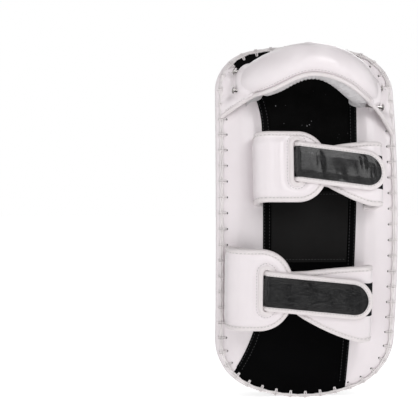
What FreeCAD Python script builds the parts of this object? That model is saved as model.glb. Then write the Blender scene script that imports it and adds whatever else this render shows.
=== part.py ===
"""Thai pad: a bowed, padded forearm shield with two forearm straps and a padded hand guard.

Frame, in millimetres: the origin is the middle of the back, +Z runs along the pad towards the hand
guard, -Y leaves the back towards the forearm, +Y leaves the strike face, and +X is across the pad.
The whole pad is bowed about one axis, parallel to X, that lies in front of the strike face. A layer of
the pad is therefore a ring about that axis, trimmed by the pad's tapering outline. Straps are drawn
flat at mid-length, as heights above the back, and then swung about the same axis to their station.
"""
import FreeCAD, Part
import math
import os

from FreeCAD import Placement, Rotation, Vector

# ---- Pad body ---------------------------------------------------------------------------------
body_length = 384.0            # straight line between the two ends of the back
body_width = 190.0             # across the back
stated_width = 190.0           # the body width that places across the pad are stated for
across = body_width / stated_width  # they follow the body's width by this factor
pad_thickness = 80.0           # back to strike face
bow_depth = 35.0               # how far the ends of the back fall behind its middle
top_corner_radius = 48.0       # corners at the hand guard end
top_crown_radius = 260.0       # gentle arch of the hand guard end
bottom_corner_radius = 62.0    # corners at the elbow end
bottom_crown_radius = 140.0    # rounder arch of the elbow end
end_taper = 20.0               # how much each end draws in between back and strike face
side_taper = 4.0               # the same for each long side
leather = 2.0                  # every outer skin
back_foam_thickness = 12.0     # firm sheet behind the back panels
strike_foam_thickness = 24.0   # soft sheet behind the strike face
edge_band_depth = 6.0          # pale strip that carries the lacing
face_side_depth = 18.0         # how far the strike cover turns down the side
shoulder_radius = 12.0         # rounded rim of the strike face
piping_width = 4.4
piping_stand_out = 1.6         # how far the piping stands out of the side
piping_tuck = 1.0              # how far the piping reaches in behind the strike cover's leather

# ---- Back panels ------------------------------------------------------------------------------
left_border = -49.0 * across   # straight part of the centre panel's left border
left_border_top = 100.0        # where the border starts to flare towards the hand guard
left_border_bottom = -60.0     # where it starts to flare towards the elbow end
top_flare_radius = 101.0
bottom_flare_radius = 200.0
right_border_top = 57.0 * across  # the right border is one straight, slightly leaning line
right_border_bottom = 46.0 * across
suede_end = 33.0               # height where the suede stops and smooth leather starts
patch_bottom = -43.0           # lower edge of the stitched patch
patch_thickness = 1.2
edge_strip_width = 8.5
edge_strip_thickness = 1.0
patch_side_gap = 0.5
trim_gap = 0.5                 # between the ends of the edge strips and the lacing holes
border_overrun = 30.0          # how far a border is drawn beyond the end of the pad
flare_limit = 0.99             # sine of the most that a flare may turn

# ---- Lacing -----------------------------------------------------------------------------------
lace_width = 2.6               # the doubled cord that runs round the back's rim
lace_height = 2.4
lace_inset = 0.3               # the cord's distance in from the rim
stitch_width = 1.8
stitch_thickness = 1.5
stitch_reach = 9.0             # rim to lacing hole
stitch_spacing = 17.0
stitch_drop = 5.0              # how far a stitch turns down the side

# ---- Hand guard -------------------------------------------------------------------------------
guard_station = 134.5          # height of the middle between the two feet
guard_lean = 33.0              # degrees the arch leans from square towards the end of the pad
guard_tilt = 6.0               # degrees the arch drops towards +X
roll_thickness = 32.0          # across the roll, in the plane of its arch
roll_width = 40.0              # across the roll, square to that plane
roll_leather = 1.6
guard_wall_x = 79.0 * across   # flat outer sides of the two feet
wall_overhang = 14.5           # from the roll's centre line to the flat side of its foot
guard_arch_radius = guard_wall_x - wall_overhang
webbing_width = 28.0
webbing_thickness = 2.5
guard_binding_radius = 2.6
lining_thickness = 0.8
flap_thickness = 1.8
flap_wall_height = 24.0        # upright tab that the rivets go through
flap_half_height = 27.0
flap_inner_margin = 4.0        # how far a flap reaches under the roll's inner side
flap_rim_gap = 0.2             # between a flap and the lacing cord
tab_margin = 2.0               # leather left beyond a washer at each end of an upright tab
arch_overrun = 24.0            # degrees that the arch is drawn past each foot before it is trimmed
lining_setback = 3.2           # from the roll's centre line to the edges of its lining
rivet_head_radius = 4.2
rivet_head_height = 2.0
rivet_shank_radius = 1.9
rivet_spread = 13.0            # each rivet's distance from the middle of its foot
rivet_rise = 14.5              # rivet height above the foot
washer_radius = 5.0
washer_thickness = 0.8

# ---- Straps -----------------------------------------------------------------------------------
arm_gap_height = 30.0          # back to the lowest strap layer
cuff_thickness = 5.5
cuff_lining = 1.0              # black lining on the forearm side of each cuff
tongue_width = 42.0
tongue_thickness = 3.6
binding_width = 5.5
binding_lip = 0.6              # how far a binding stands out of the piece it edges
tongue_binding_width = 5.0
fastener_thickness = 1.2       # each half of the hook-and-loop fastening
slot_clearance = 0.8           # free space round the strap in its slot
slot_frame_width = 5.0         # stitched reinforcement round the slot
running_gap = 0.3              # free space between a tongue and what it lies on
waist_bend = 4.0               # bend radius of the strap in its slot
neck_stand_out = 0.5           # how far the strap in the slot stands above the left cuff
ramp_start = 4.0               # from a left cuff's free end to where the strap below it starts to rise
ramp_length = 12.0
ramp_bend = 12.0
foot_height = 0.5              # middle of a cuff's thickness where it lies on the back
patch_start = 20.0             # from a left cuff's free end to the hook-and-loop fastening
patch_end_margin = 1.0         # from a right cuff's fold to the end of its loop patch
waist_margin = 2.0             # from a left cuff's free end to where the right cuff starts to widen
full_margin = 4.0              # from the right cuff's full width to the start of its fold
cuff_swell = 0.12              # how far the widening bows out, as a share of its rise
root_sink = 2.0                # a lifted left cuff's root starts this far below the back's face
foot_bend_share = 0.9          # a left cuff's lower bend, as a share of its upper one
least_foot_run = 0.5           # straight run left between a right cuff's lower bend and its root
plan_overrun = 50.0            # how far a strap's outline is drawn behind its slot

UPPER = {
    "name": "upper",
    "station": 54.0,           # height on the back
    "left_seam": 4.0,          # left border of the centre panel to the left cuff's root
    "left_fold": -60.0 * across,  # outermost face of the left cuff
    "left_foot_height": 12.0,
    "left_bend": 11.0,
    "left_end": 13.0 * across,    # free end of the left cuff
    "left_width": 74.0,
    "left_end_radius": 31.0,
    "slot": -19.0 * across,
    "slot_rise": 5.0,          # the slot's height above the middle of its cuff
    "right_seam": 6.0,         # right border of the centre panel to the right cuff's root
    "right_fold": 73.0 * across,
    "right_bend": 9.0,
    "right_width": 68.0,
    "right_drop": 7.0,         # the right cuff sits this much lower than the left one
    "tongue_tip": 74.0 * across,
    "tongue_fall": 7.0,        # degrees
}
LOWER = {
    "name": "lower",
    "station": -65.5,
    "left_seam": 9.0,
    "left_fold": -90.0 * across,
    "left_foot_height": foot_height,
    "left_bend": 16.0,
    "left_end": -23.0 * across,
    "left_width": 86.0,
    "left_end_radius": 34.0,
    "slot": -51.0 * across,
    "slot_rise": 0.0,
    "right_seam": 1.5,
    "right_fold": 62.5 * across,
    "right_bend": 9.0,
    "right_width": 81.0,
    "right_drop": 16.0,
    "tongue_tip": 61.0 * across,
    "tongue_fall": 5.8,
}

# ---- Worked out from the sizes above ------------------------------------------------------------
half_length = body_length / 2
back_radius = (half_length ** 2 + bow_depth ** 2) / (2 * bow_depth)
bow_axis = Vector(0, back_radius, 0)
reach = body_width + 200.0     # longer than anything the cutting tools pass through
match_tolerance = 0.01         # an edge this near to a drum lies on it
face_seam = pad_thickness - face_side_depth
roll_base = flap_thickness
washer_depth = guard_wall_x - guard_arch_radius + webbing_thickness / 2
rim_clear = lace_inset + lace_width + flap_rim_gap
stack_neck = arm_gap_height + cuff_thickness / 2
stack_left = stack_neck + cuff_thickness + 2 * binding_lip + running_gap
left_top = stack_left + cuff_thickness / 2
tongue_low = left_top + 2 * binding_lip + running_gap
hinge_height = tongue_low + tongue_thickness / 2
stack_right = tongue_low - 2 * fastener_thickness - running_gap - cuff_thickness / 2


# ---- Drawing helpers ----------------------------------------------------------------------------
def save(name, shape):
    """Write one sub-part."""
    shape.exportStep("parts/" + name + ".step")


def back_face(height):
    """The back's y at a height along the pad."""
    return back_radius - math.sqrt(back_radius ** 2 - height ** 2)


def drum(radius):
    """A solid cylinder about the bow axis."""
    return Part.makeCylinder(radius, 2 * reach, bow_axis - Vector(reach, 0, 0), Vector(1, 0, 0))


def ring(depth_from, depth_to):
    """All points between two depths below the back; a negative depth is outside it."""
    return drum(back_radius - depth_from).cut(drum(back_radius - depth_to))


def arc(start, middle, end):
    return Part.Arc(start, middle, end).toShape()


def end_points(half_width, end, corner, crown):
    """Corner start, corner middle, crown start and crown top of one rounded end, on the +X side."""
    centre_x = half_width - corner
    crown_z = end - crown
    centre_z = crown_z + math.sqrt((crown - corner) ** 2 - centre_x ** 2)
    lean = math.atan2(centre_x, centre_z - crown_z)
    half_turn = (lean + math.pi / 2) / 2
    start = (half_width, centre_z)
    middle = (centre_x + corner * math.sin(half_turn), centre_z + corner * math.cos(half_turn))
    join = (crown * math.sin(lean), crown_z + crown * math.cos(lean))
    return start, middle, join, (0.0, end)


def outline(y, inset):
    """The pad's closed outline at one y: straight sides, round corners and arched ends."""
    half_width = body_width / 2 - side_taper * y / pad_thickness - inset
    end = half_length - end_taper * (y - bow_depth) / pad_thickness - inset
    top = end_points(half_width, end, top_corner_radius - inset, top_crown_radius - inset)
    low = end_points(half_width, end, bottom_corner_radius - inset, bottom_crown_radius - inset)

    def at(point, side, up):
        return Vector(side * point[0], y, up * point[1])

    edges = []
    for points, up in ((top, 1), (low, -1)):
        start, middle, join, peak = points
        edges.append(arc(at(start, 1, up), at(middle, 1, up), at(join, 1, up)))
        edges.append(arc(at(join, 1, up), at(peak, 1, up), at(join, -1, up)))
        edges.append(arc(at(join, -1, up), at(middle, -1, up), at(start, -1, up)))
    for side in (1, -1):
        edges.append(Part.LineSegment(at(top[0], side, 1), at(low[0], side, -1)).toShape())
    return Part.Wire(Part.__sortEdges__(edges))


def wall(inset):
    """The solid inside the pad's tapering side wall, drawn in all round by `inset`."""
    low = -bow_depth
    high = pad_thickness + 2 * bow_depth
    return Part.makeLoft([outline(low, inset), outline(high, inset)], True, True)


def layer(depth_from, depth_to, inset=0.0):
    """One bowed layer of the pad."""
    return wall(inset).common(ring(depth_from, depth_to))


def band(depth_from, depth_to, inset_from, inset_to):
    """A strip that follows the pad's rim."""
    return wall(inset_from).cut(wall(inset_to)).common(ring(depth_from, depth_to))


def column(points):
    """A prism along Y over a closed outline of straight lines, given as (x, z)."""
    corners = [Vector(x, -reach, z) for x, z in points]
    face = Part.Face(Part.makePolygon(corners + corners[:1]))
    return face.extrude(Vector(0, 2 * reach, 0))


def swing(shape, station):
    """Carry a piece drawn at mid-length along the bowed back to its station."""
    turned = shape.copy()
    turned.rotate(bow_axis, Vector(1, 0, 0), -math.degrees(math.asin(station / back_radius)))
    return turned


# ---- Pad body ---------------------------------------------------------------------------------
def rounded_block(depth_from, depth_to, inset, radius):
    """A bowed layer whose rim on the strike side is rounded."""
    block = layer(depth_from, depth_to, inset)
    rim = []
    for edge in block.Edges:
        middle = edge.valueAt((edge.FirstParameter + edge.LastParameter) / 2)
        distance = math.hypot(middle.y - bow_axis.y, middle.z)
        if abs(distance - (back_radius - depth_to)) < match_tolerance:
            rim.append(edge)
    return block.makeFillet(radius, rim)


def make_pad_body():
    """Foam layers, strike cover, side gusset, piping and the pale edge band."""
    core_start = leather + back_foam_thickness
    core_end = pad_thickness - leather - strike_foam_thickness
    outer = rounded_block(face_seam, pad_thickness, 0.0, shoulder_radius)
    inner_radius = shoulder_radius - leather
    inner = rounded_block(face_seam - leather, pad_thickness - leather, leather, inner_radius)
    save("strike_face_cover", outer.cut(inner))
    save("strike_foam", rounded_block(core_end, pad_thickness - leather, leather, inner_radius))
    save("core_foam", layer(core_start, core_end, leather))
    save("back_foam", layer(leather, core_start, leather))
    half_piping = piping_width / 2
    save("side_gusset", band(leather + edge_band_depth, face_seam - half_piping, 0.0, leather))
    piping = band(face_seam - half_piping, face_seam + half_piping, -piping_stand_out, leather)
    save("face_piping", piping.cut(band(face_seam, pad_thickness, 0.0, leather + piping_tuck)))
    save("seam_edge_band", band(leather, leather + edge_band_depth, 0.0, leather))


# ---- Back panels ------------------------------------------------------------------------------
def left_border_edges(shift):
    """The centre panel's left border, moved towards +X by `shift`: flare, straight run, flare."""
    border = left_border + shift
    edges = []
    for height, radius, up in ((left_border_top, top_flare_radius, 1),
                               (left_border_bottom, bottom_flare_radius, -1)):
        centre = border - radius
        tip = (half_length + border_overrun - abs(height)) / radius
        tip = math.asin(min(tip, flare_limit))
        points = []
        for turn in (0.0, tip / 2, tip):
            points.append(Vector(centre + radius * math.cos(turn), 0, height + up * radius * math.sin(turn)))
        edges.append(arc(*points))
    straight = Part.LineSegment(Vector(border, 0, left_border_top), Vector(border, 0, left_border_bottom))
    edges.append(straight.toShape())
    return edges


def right_border_x(height, shift):
    slope = (right_border_top - right_border_bottom) / body_length
    return (right_border_top + right_border_bottom) / 2 + slope * height + shift


def between_borders(left_shift, right_shift):
    """Prism along Y between the two borders, each moved towards +X by its shift."""
    border = Part.Wire(Part.__sortEdges__(left_border_edges(left_shift)))
    ends = sorted([border.OrderedVertexes[0].Point, border.OrderedVertexes[-1].Point], key=lambda p: p.z)
    low = ends[0]
    high = ends[1]
    corners = [high,
               Vector(right_border_x(high.z, right_shift), 0, high.z),
               Vector(right_border_x(low.z, right_shift), 0, low.z),
               low]
    face = Part.Face(Part.Wire(Part.__sortEdges__(border.Edges + Part.makePolygon(corners).Edges)))
    face.translate(Vector(0, -reach, 0))
    return face.extrude(Vector(0, 2 * reach, 0))


def make_back_panels():
    """White side panels, the dark centre panels, their edge strips and the stitched patch."""
    skin = layer(0.0, leather)
    middle = between_borders(0.0, 0.0)
    sides = skin.cut(middle)
    for side in sides.Solids:
        save("back_panel_left" if side.CenterOfMass.x < 0 else "back_panel_right", side)
    centre = skin.common(middle)
    above = column([(-reach, suede_end), (reach, suede_end), (reach, reach), (-reach, reach)])
    save("centre_panel_upper", centre.common(above))
    save("centre_panel_lower", centre.cut(above))
    inner = between_borders(edge_strip_width, -edge_strip_width)
    strips = layer(-edge_strip_thickness, 0.0, stitch_reach + trim_gap).common(middle.cut(inner))
    for side, name in ((-1, "panel_edge_strip_left"), (1, "panel_edge_strip_right")):
        half = column([(0, -reach), (side * reach, -reach), (side * reach, reach), (0, reach)])
        save(name, strips.common(half).cut(flap_footprint(side)))
    window = column([(-reach, patch_bottom), (reach, patch_bottom), (reach, suede_end), (-reach, suede_end)])
    bed = between_borders(edge_strip_width + patch_side_gap, -edge_strip_width - patch_side_gap)
    save("centre_patch", layer(-patch_thickness, 0.0).common(bed).common(window))


# ---- Lacing -----------------------------------------------------------------------------------
def stitch_bars():
    """Thin upright plates, square to the rim, one for each lock stitch."""
    rim = outline(0.0, 0.0)
    count = round(rim.Length / stitch_spacing)
    places = rim.discretize(Number=2 * count + 1)
    bars = []
    for number in range(count):
        here = places[2 * number + 1]
        along = places[2 * number + 2] - places[2 * number]
        bar = Part.makeBox(4 * stitch_reach, reach, stitch_width,
                           Vector(-2 * stitch_reach, -reach / 2, -stitch_width / 2))
        bar.Placement = Placement(here, Rotation(Vector(0, 1, 0), math.degrees(math.atan2(along.x, along.z))))
        bars.append(bar)
    return Part.makeCompound(bars)


def make_lacing():
    """The cord round the rim, and the stitches that hook over it; returns the stitches."""
    save("edge_lacing", band(-lace_height, 0.0, lace_inset, lace_inset + lace_width))
    outer = band(-lace_height - stitch_thickness, stitch_drop, -stitch_thickness, stitch_reach)
    under_cord = band(-lace_height, stitch_drop, 0.0, stitch_reach - stitch_thickness)
    below_hole = band(0.0, stitch_drop, 0.0, stitch_reach)
    staple = outer.cut(under_cord).cut(below_hole)
    stitches = staple.common(stitch_bars())
    save("lacing_stitches", stitches)
    return stitches


# ---- Hand guard -------------------------------------------------------------------------------
def guard_place():
    """Local frame of the arch: X foot to foot, Y to the top of the arch, Z along its axis."""
    base = Vector(0, back_face(guard_station), guard_station)
    lean = Rotation(Vector(1, 0, 0), 180.0 - guard_lean)
    tilt = Rotation(Vector(0, 1, 0), guard_tilt)
    return Placement(base, tilt.multiply(lean))


def arch(face):
    """Sweep a section, drawn at the +X foot, round the arch and well past both feet."""
    turned = face.copy()
    turned.rotate(Vector(0, 0, 0), Vector(0, 0, 1), -arch_overrun)
    return turned.revolve(Vector(0, 0, 0), Vector(0, 0, 1), 180.0 + 2 * arch_overrun)


def roll_section(grow):
    """The roll's oval section at the +X foot."""
    half_thickness = roll_thickness / 2 + grow
    half_width = roll_width / 2 + grow
    longer = Vector(0, 0, half_width)
    shorter = Vector(half_thickness, 0, 0)
    if half_thickness > half_width:
        longer, shorter = shorter, longer
    oval = Part.Ellipse(longer, shorter, Vector(0, 0, 0))
    face = Part.Face(Part.Wire(oval.toShape()))
    face.translate(Vector(guard_arch_radius, 0, 0))
    return face


def section_box(x_from, x_to, z_from, z_to):
    """A rectangle in the section plane, measured from the roll's centre line."""
    corners = [Vector(guard_arch_radius + x, 0, z)
               for x, z in ((x_from, z_from), (x_to, z_from), (x_to, z_to), (x_from, z_to))]
    return Part.Face(Part.makePolygon(corners + corners[:1]))


def stand_on_back(shape, height):
    """Place a guard piece and trim it where it meets the back, `height` above it."""
    placed = shape.copy()
    placed.Placement = guard_place()
    return placed.cut(drum(back_radius + height))


def foot_limits():
    """The space between the flat outer sides of the two feet, in the arch's own frame."""
    return Part.makeBox(2 * guard_wall_x, 2 * reach, 2 * reach, Vector(-guard_wall_x, -reach, -reach))


def rivet_spots():
    """Centre of each rivet on the outer side of its foot, and which side it is on."""
    spots = []
    for side in (-1, 1):
        for shift in (-rivet_spread, rivet_spread):
            spots.append((side, Vector(side * guard_wall_x, rivet_rise, shift)))
    return spots


def rivet_rods(radius, outside, inside):
    """Cylinders on the rivet axes, from `outside` beyond the foot's side to `inside` within it."""
    rods = []
    for side, spot in rivet_spots():
        start = spot + Vector(side * outside, 0, 0)
        rods.append(Part.makeCylinder(radius, outside + inside, start, Vector(-side, 0, 0)))
    return Part.makeCompound(rods)


def washer_discs():
    """Solid discs where the washers sit, behind the webbing."""
    discs = []
    for side, spot in rivet_spots():
        face = spot - Vector(side * washer_depth, 0, 0)
        discs.append(Part.makeCylinder(washer_radius, washer_thickness, face, Vector(-side, 0, 0)))
    return Part.makeCompound(discs)


def make_guard_roll():
    """Leather tube, foam, webbing, binding and lining of the arched roll."""
    limits = foot_limits()
    holes = rivet_rods(rivet_shank_radius, flap_thickness, washer_depth + washer_thickness)
    half_web = webbing_width / 2
    web_face = section_box(-webbing_thickness / 2, webbing_thickness / 2, -half_web, half_web)
    tube = arch(roll_section(0.0)).common(limits)
    inner_limits = Part.makeBox(2 * (guard_wall_x - roll_leather), 2 * reach, 2 * reach,
                                Vector(roll_leather - guard_wall_x, -reach, -reach))
    filling = arch(roll_section(-roll_leather)).common(inner_limits)
    web = arch(web_face)
    seats = washer_discs()
    save("guard_roll_cover", stand_on_back(tube.cut(filling).cut(holes), roll_base))
    save("guard_roll_foam", stand_on_back(filling.cut(web).cut(holes).cut(seats), roll_base))
    save("guard_webbing", stand_on_back(web.cut(holes).cut(seats), roll_base))
    lining = roll_section(lining_thickness).cut(roll_section(0.0))
    inner_side = section_box(-roll_thickness, -lining_setback, -roll_width, roll_width)
    save("guard_lining", stand_on_back(arch(lining.common(inner_side)), roll_base))
    bead = Part.Face(Part.Wire(Part.Circle(Vector(0, 0, 0), Vector(0, 1, 0), guard_binding_radius).toShape()))
    bead.translate(Vector(guard_arch_radius, 0, roll_width / 2 + guard_binding_radius / 2))
    bead = bead.cut(roll_section(0.0)).cut(lining.common(inner_side))
    save("guard_binding", stand_on_back(arch(bead), roll_base))


def flap_footprint(side):
    """Prism along Y over the patch of the back that a guard flap covers."""
    centre = guard_station - side * guard_wall_x * math.tan(math.radians(guard_tilt))
    inner = side * (guard_wall_x - roll_thickness - flap_inner_margin)
    low = centre - flap_half_height
    high = centre + flap_half_height
    return column([(inner, low), (side * reach, low), (side * reach, high), (inner, high)])


def make_flap(name, side, stitches):
    """A leather flap: a foot on the back, laced at the rim, and an upright tab beside the roll."""
    half_tab = rivet_spread + washer_radius + tab_margin
    low_x = guard_wall_x if side > 0 else -guard_wall_x - flap_thickness
    tab = Part.makeBox(flap_thickness, reach + flap_wall_height, 2 * half_tab, Vector(low_x, -reach, -half_tab))
    tab = stand_on_back(tab.cut(rivet_rods(rivet_shank_radius, flap_thickness, 0.0)), 0.0)
    foot = layer(-flap_thickness, 0.0, rim_clear).common(flap_footprint(side))
    nearby = []
    for stitch in stitches.Solids:
        centre = stitch.CenterOfMass
        if centre.x * side > 0 and abs(centre.z - guard_station) < 2 * flap_half_height:
            nearby.append(stitch)
    save(name, foot.fuse(tab).removeSplitter().cut(nearby))


def make_guard_fasteners():
    """Domed rivets through each foot, and the washers behind their webbing."""
    shank = flap_thickness + washer_depth + washer_thickness
    rivets = []
    dome = (rivet_head_radius ** 2 + rivet_head_height ** 2) / (2 * rivet_head_height)
    for side, spot in rivet_spots():
        outward = Vector(side, 0, 0)
        seat = spot + outward * flap_thickness
        ball = Part.makeSphere(dome, seat + outward * (rivet_head_height - dome))
        head = ball.common(Part.makeCylinder(rivet_head_radius, dome, seat, outward))
        rivets.append(head.fuse(Part.makeCylinder(rivet_shank_radius, shank, seat, outward * -1)))
    shanks = rivet_rods(rivet_shank_radius, flap_thickness, washer_depth + washer_thickness)
    for name, group in (("guard_rivets", Part.makeCompound(rivets)),
                        ("rivet_washers", washer_discs().cut(shanks))):
        group.Placement = guard_place()
        save(name, group)


# ---- Straps -----------------------------------------------------------------------------------
def rounded_path(points, radii, offset):
    """Edges of a path of straight runs and tangent bends, moved to its left by `offset`."""
    count = len(points)
    directions = []
    for first, second in zip(points, points[1:]):
        length = math.hypot(second[0] - first[0], second[1] - first[1])
        directions.append(((second[0] - first[0]) / length, (second[1] - first[1]) / length))
    moved = []
    for number in range(count):
        before = directions[max(number - 1, 0)]
        after = directions[min(number, count - 2)]
        normal = (-(before[1] + after[1]), before[0] + after[0])
        scale = offset / (1 + before[0] * after[0] + before[1] * after[1])
        moved.append(Vector(points[number][0] + normal[0] * scale, -(points[number][1] + normal[1] * scale), 0))
    edges = []
    cursor = moved[0]
    for number in range(1, count - 1):
        before = directions[number - 1]
        after = directions[number]
        turn = math.atan2(before[0] * after[1] - before[1] * after[0],
                          before[0] * after[0] + before[1] * after[1])
        radius = radii[number - 1] - offset * math.copysign(1.0, turn)
        setback = radius * math.tan(abs(turn) / 2)
        back = Vector(before[0], -before[1], 0)
        forward = Vector(after[0], -after[1], 0)
        start = moved[number] - back * setback
        end = moved[number] + forward * setback
        inward = (forward - back).normalize()
        middle = moved[number] + inward * (radius / math.cos(turn / 2) - radius)
        edges.append(Part.LineSegment(cursor, start).toShape())
        edges.append(arc(start, middle, end))
        cursor = end
    edges.append(Part.LineSegment(cursor, moved[-1]).toShape())
    return edges


def strip(points, radii, inner, outer):
    """A bent sheet, as wide as `reach`, between two offsets from its centre path."""
    low = rounded_path(points, radii, inner)
    high = rounded_path(points, radii, outer)
    ends = [Part.LineSegment(low[0].Vertexes[0].Point, high[0].Vertexes[0].Point).toShape(),
            Part.LineSegment(low[-1].Vertexes[-1].Point, high[-1].Vertexes[-1].Point).toShape()]
    face = Part.Face(Part.Wire(Part.__sortEdges__(low + high + ends)))
    face.translate(Vector(0, 0, -reach / 2))
    return face.extrude(Vector(0, 0, reach))


def plan(edges):
    """A prism along Y over a closed outline of edges in the XZ plane."""
    face = Part.Face(Part.Wire(Part.__sortEdges__(edges)))
    face.translate(Vector(0, -reach, 0))
    return face.extrude(Vector(0, 2 * reach, 0))


def line(first, second):
    return Part.LineSegment(Vector(first[0], 0, first[1]), Vector(second[0], 0, second[1])).toShape()


def bow(first, middle, second):
    return arc(Vector(first[0], 0, first[1]), Vector(middle[0], 0, middle[1]), Vector(second[0], 0, second[1]))


def left_plan(strap, inset):
    """Outline of a left cuff from above: square at the fold, rounded at its free end."""
    half = strap["left_width"] / 2 - inset
    end = strap["left_end"] - inset
    corner = strap["left_end_radius"] - inset
    start = -reach / 2
    bend = corner * (1 - math.sqrt(0.5))
    edges = [line((start, -half), (start, half)), line((end, corner - half), (end, half - corner))]
    for up in (1, -1):
        edges.append(line((start, up * half), (end - corner, up * half)))
        middle = (end - bend, up * (half - bend))
        edges.append(bow((end - corner, up * half), middle, (end, up * (half - corner))))
    return plan(edges)


def tongue_line(strap, x):
    """Height of the tongue's middle line at x."""
    return strap["slot_rise"] - (x - strap["slot"]) * math.tan(math.radians(strap["tongue_fall"]))


def tongue_plan(strap, inset):
    """Outline of a tongue from above: a slanting band with a round tip."""
    half = tongue_width / 2 - inset
    centre = strap["tongue_tip"] - tongue_width / 2
    start = strap["slot"] - plan_overrun
    edges = [line((start, tongue_line(strap, start) - half), (start, tongue_line(strap, start) + half))]
    tip = (centre + half, tongue_line(strap, centre + half))
    low = (centre, tongue_line(strap, centre) - half)
    high = (centre, tongue_line(strap, centre) + half)
    edges.append(line((start, tongue_line(strap, start) - half), low))
    edges.append(line((start, tongue_line(strap, start) + half), high))
    edges.append(bow(low, tip, high))
    return plan(edges)


def right_plan(strap, inset):
    """Outline of a right cuff from above: a slanting neck that widens towards its fold."""
    neck = tongue_width / 2 - inset
    half = strap["right_width"] / 2 - inset
    start = strap["slot"] - plan_overrun
    waist = strap["left_end"] + waist_margin
    full = strap["right_fold"] - strap["right_bend"] - full_margin
    middle = (waist + full) / 2
    edges = [line((start, tongue_line(strap, start) - neck), (start, tongue_line(strap, start) + neck)),
             line((reach / 2, -strap["right_drop"] - half), (reach / 2, half - strap["right_drop"]))]
    for up in (1, -1):
        waist_z = tongue_line(strap, waist) + up * neck
        full_z = up * half - strap["right_drop"]
        swell = up * cuff_swell * abs(full_z - waist_z)
        edges.append(line((start, tongue_line(strap, start) + up * neck), (waist, waist_z)))
        edges.append(bow((waist, waist_z), (middle, (waist_z + full_z) / 2 + swell), (full, full_z)))
        edges.append(line((full, full_z), (reach / 2, full_z)))
    return plan(edges)


def left_path(strap):
    """Centre path of a left cuff, from the back, round its fold and over to its free end."""
    fold = strap["left_fold"] + cuff_thickness / 2
    root_height = -root_sink if strap["left_foot_height"] > foot_height else foot_height
    points = [(left_border - strap["left_seam"], root_height),
              (fold, strap["left_foot_height"]),
              (fold, stack_left),
              (strap["left_end"], stack_left)]
    return points, [foot_bend_share * strap["left_bend"], strap["left_bend"]]


def right_path(strap):
    """Centre path of a right cuff, from its slot, under the left cuff, over its fold, to the back."""
    fold = strap["right_fold"] - cuff_thickness / 2
    root = right_border_x(strap["station"], strap["right_seam"])
    ramp = strap["left_end"] + ramp_start
    points = [(strap["slot"], left_top + neck_stand_out),
              (strap["slot"], stack_neck),
              (ramp, stack_neck),
              (ramp + ramp_length, stack_right),
              (fold, stack_right),
              (fold, foot_height),
              (root, foot_height)]
    foot_bend = min(strap["right_bend"], fold - root - least_foot_run)
    return points, [waist_bend, ramp_bend, ramp_bend, strap["right_bend"], foot_bend]


def slot_cutter(strap, grow):
    """A round-ended bar through the left cuff, as large as the strap in the slot plus clearance."""
    half_width = cuff_thickness / 2 + binding_lip + slot_clearance + grow
    half_height = tongue_width / 2 + slot_clearance
    x = strap["slot"]
    z = strap["slot_rise"]
    edges = []
    for up in (1, -1):
        end = z + up * half_height
        edges.append(bow((x - half_width, end), (x, end + up * half_width), (x + half_width, end)))
    for side in (1, -1):
        edges.append(line((x + side * half_width, z - half_height), (x + side * half_width, z + half_height)))
    return plan(edges)


def save_strap_piece(strap, name, shape):
    """Trim a strap piece at the back, swing it to its station and write it."""
    trimmed = shape.cut(drum(back_radius))
    save(strap["name"] + "_" + name, swing(trimmed, strap["station"]))


def make_cuff(strap, side, path, outline_of, opening):
    """Padded cuff, its edge binding and its dark lining, with an optional opening cut through."""
    points, radii = path
    half = cuff_thickness / 2
    field = outline_of(strap, binding_width)
    full = outline_of(strap, 0.0)
    pad = strip(points, radii, -half + cuff_lining, half).common(field)
    lining = strip(points, radii, -half, -half + cuff_lining).common(field)
    edge = strip(points, radii, -half - binding_lip, half + binding_lip).common(full.cut(field))
    for name, shape in (("_cuff", pad), ("_cuff_lining", lining), ("_cuff_binding", edge)):
        if opening is not None:
            shape = shape.cut(opening)
        save_strap_piece(strap, side + name, shape)


def make_left_cuff(strap):
    """Left cuff with the slot that its partner's tongue comes up through."""
    make_cuff(strap, "left", left_path(strap), left_plan, slot_cutter(strap, 0.0))
    frame = slot_cutter(strap, slot_frame_width).cut(slot_cutter(strap, 0.0))
    slab = Part.makeBox(reach, binding_lip, reach, Vector(-reach / 2, -left_top - binding_lip, -reach / 2))
    save_strap_piece(strap, "slot_frame", slab.common(frame).common(left_plan(strap, binding_width)))


def make_right_cuff(strap):
    """Right cuff, whose neck runs up through the slot, and the loop half of the fastening."""
    points, radii = right_path(strap)
    make_cuff(strap, "right", (points, radii), right_plan, None)
    top = cuff_thickness / 2
    cover = strip(points, radii, top, top + fastener_thickness).common(tongue_plan(strap, tongue_binding_width))
    start = strap["left_end"] + patch_start
    window = Part.makeBox(strap["right_fold"] - patch_end_margin - start, reach / 2, reach,
                          Vector(start, -reach / 2 - stack_right + strap["right_bend"], -reach / 2))
    save_strap_piece(strap, "loop_patch", cover.common(window))


def tongue_slab(strap, lip):
    """A flat slab from the hinge line to beyond the tip, rounded about the hinge line."""
    half = tongue_thickness / 2 + lip
    start = Vector(strap["slot"], -hinge_height, -reach / 2)
    slab = Part.makeBox(reach / 2, 2 * half, reach, start - Vector(0, half, 0))
    return slab.fuse(Part.makeCylinder(half, reach, start, Vector(0, 0, 1)))


def make_tongue(strap):
    """The tongue that folds back over the strap: leather, edge binding and hook patch."""
    full = tongue_plan(strap, 0.0)
    field = tongue_plan(strap, tongue_binding_width)
    save_strap_piece(strap, "tongue", tongue_slab(strap, 0.0).common(field))
    save_strap_piece(strap, "tongue_binding", tongue_slab(strap, binding_lip).common(full.cut(field)))
    start = strap["left_end"] + patch_start
    hook = Part.makeBox(strap["right_fold"] - strap["right_bend"] - cuff_thickness - start, fastener_thickness,
                        reach, Vector(start, -tongue_low, -reach / 2))
    save_strap_piece(strap, "hook_patch", hook.common(field))


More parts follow.
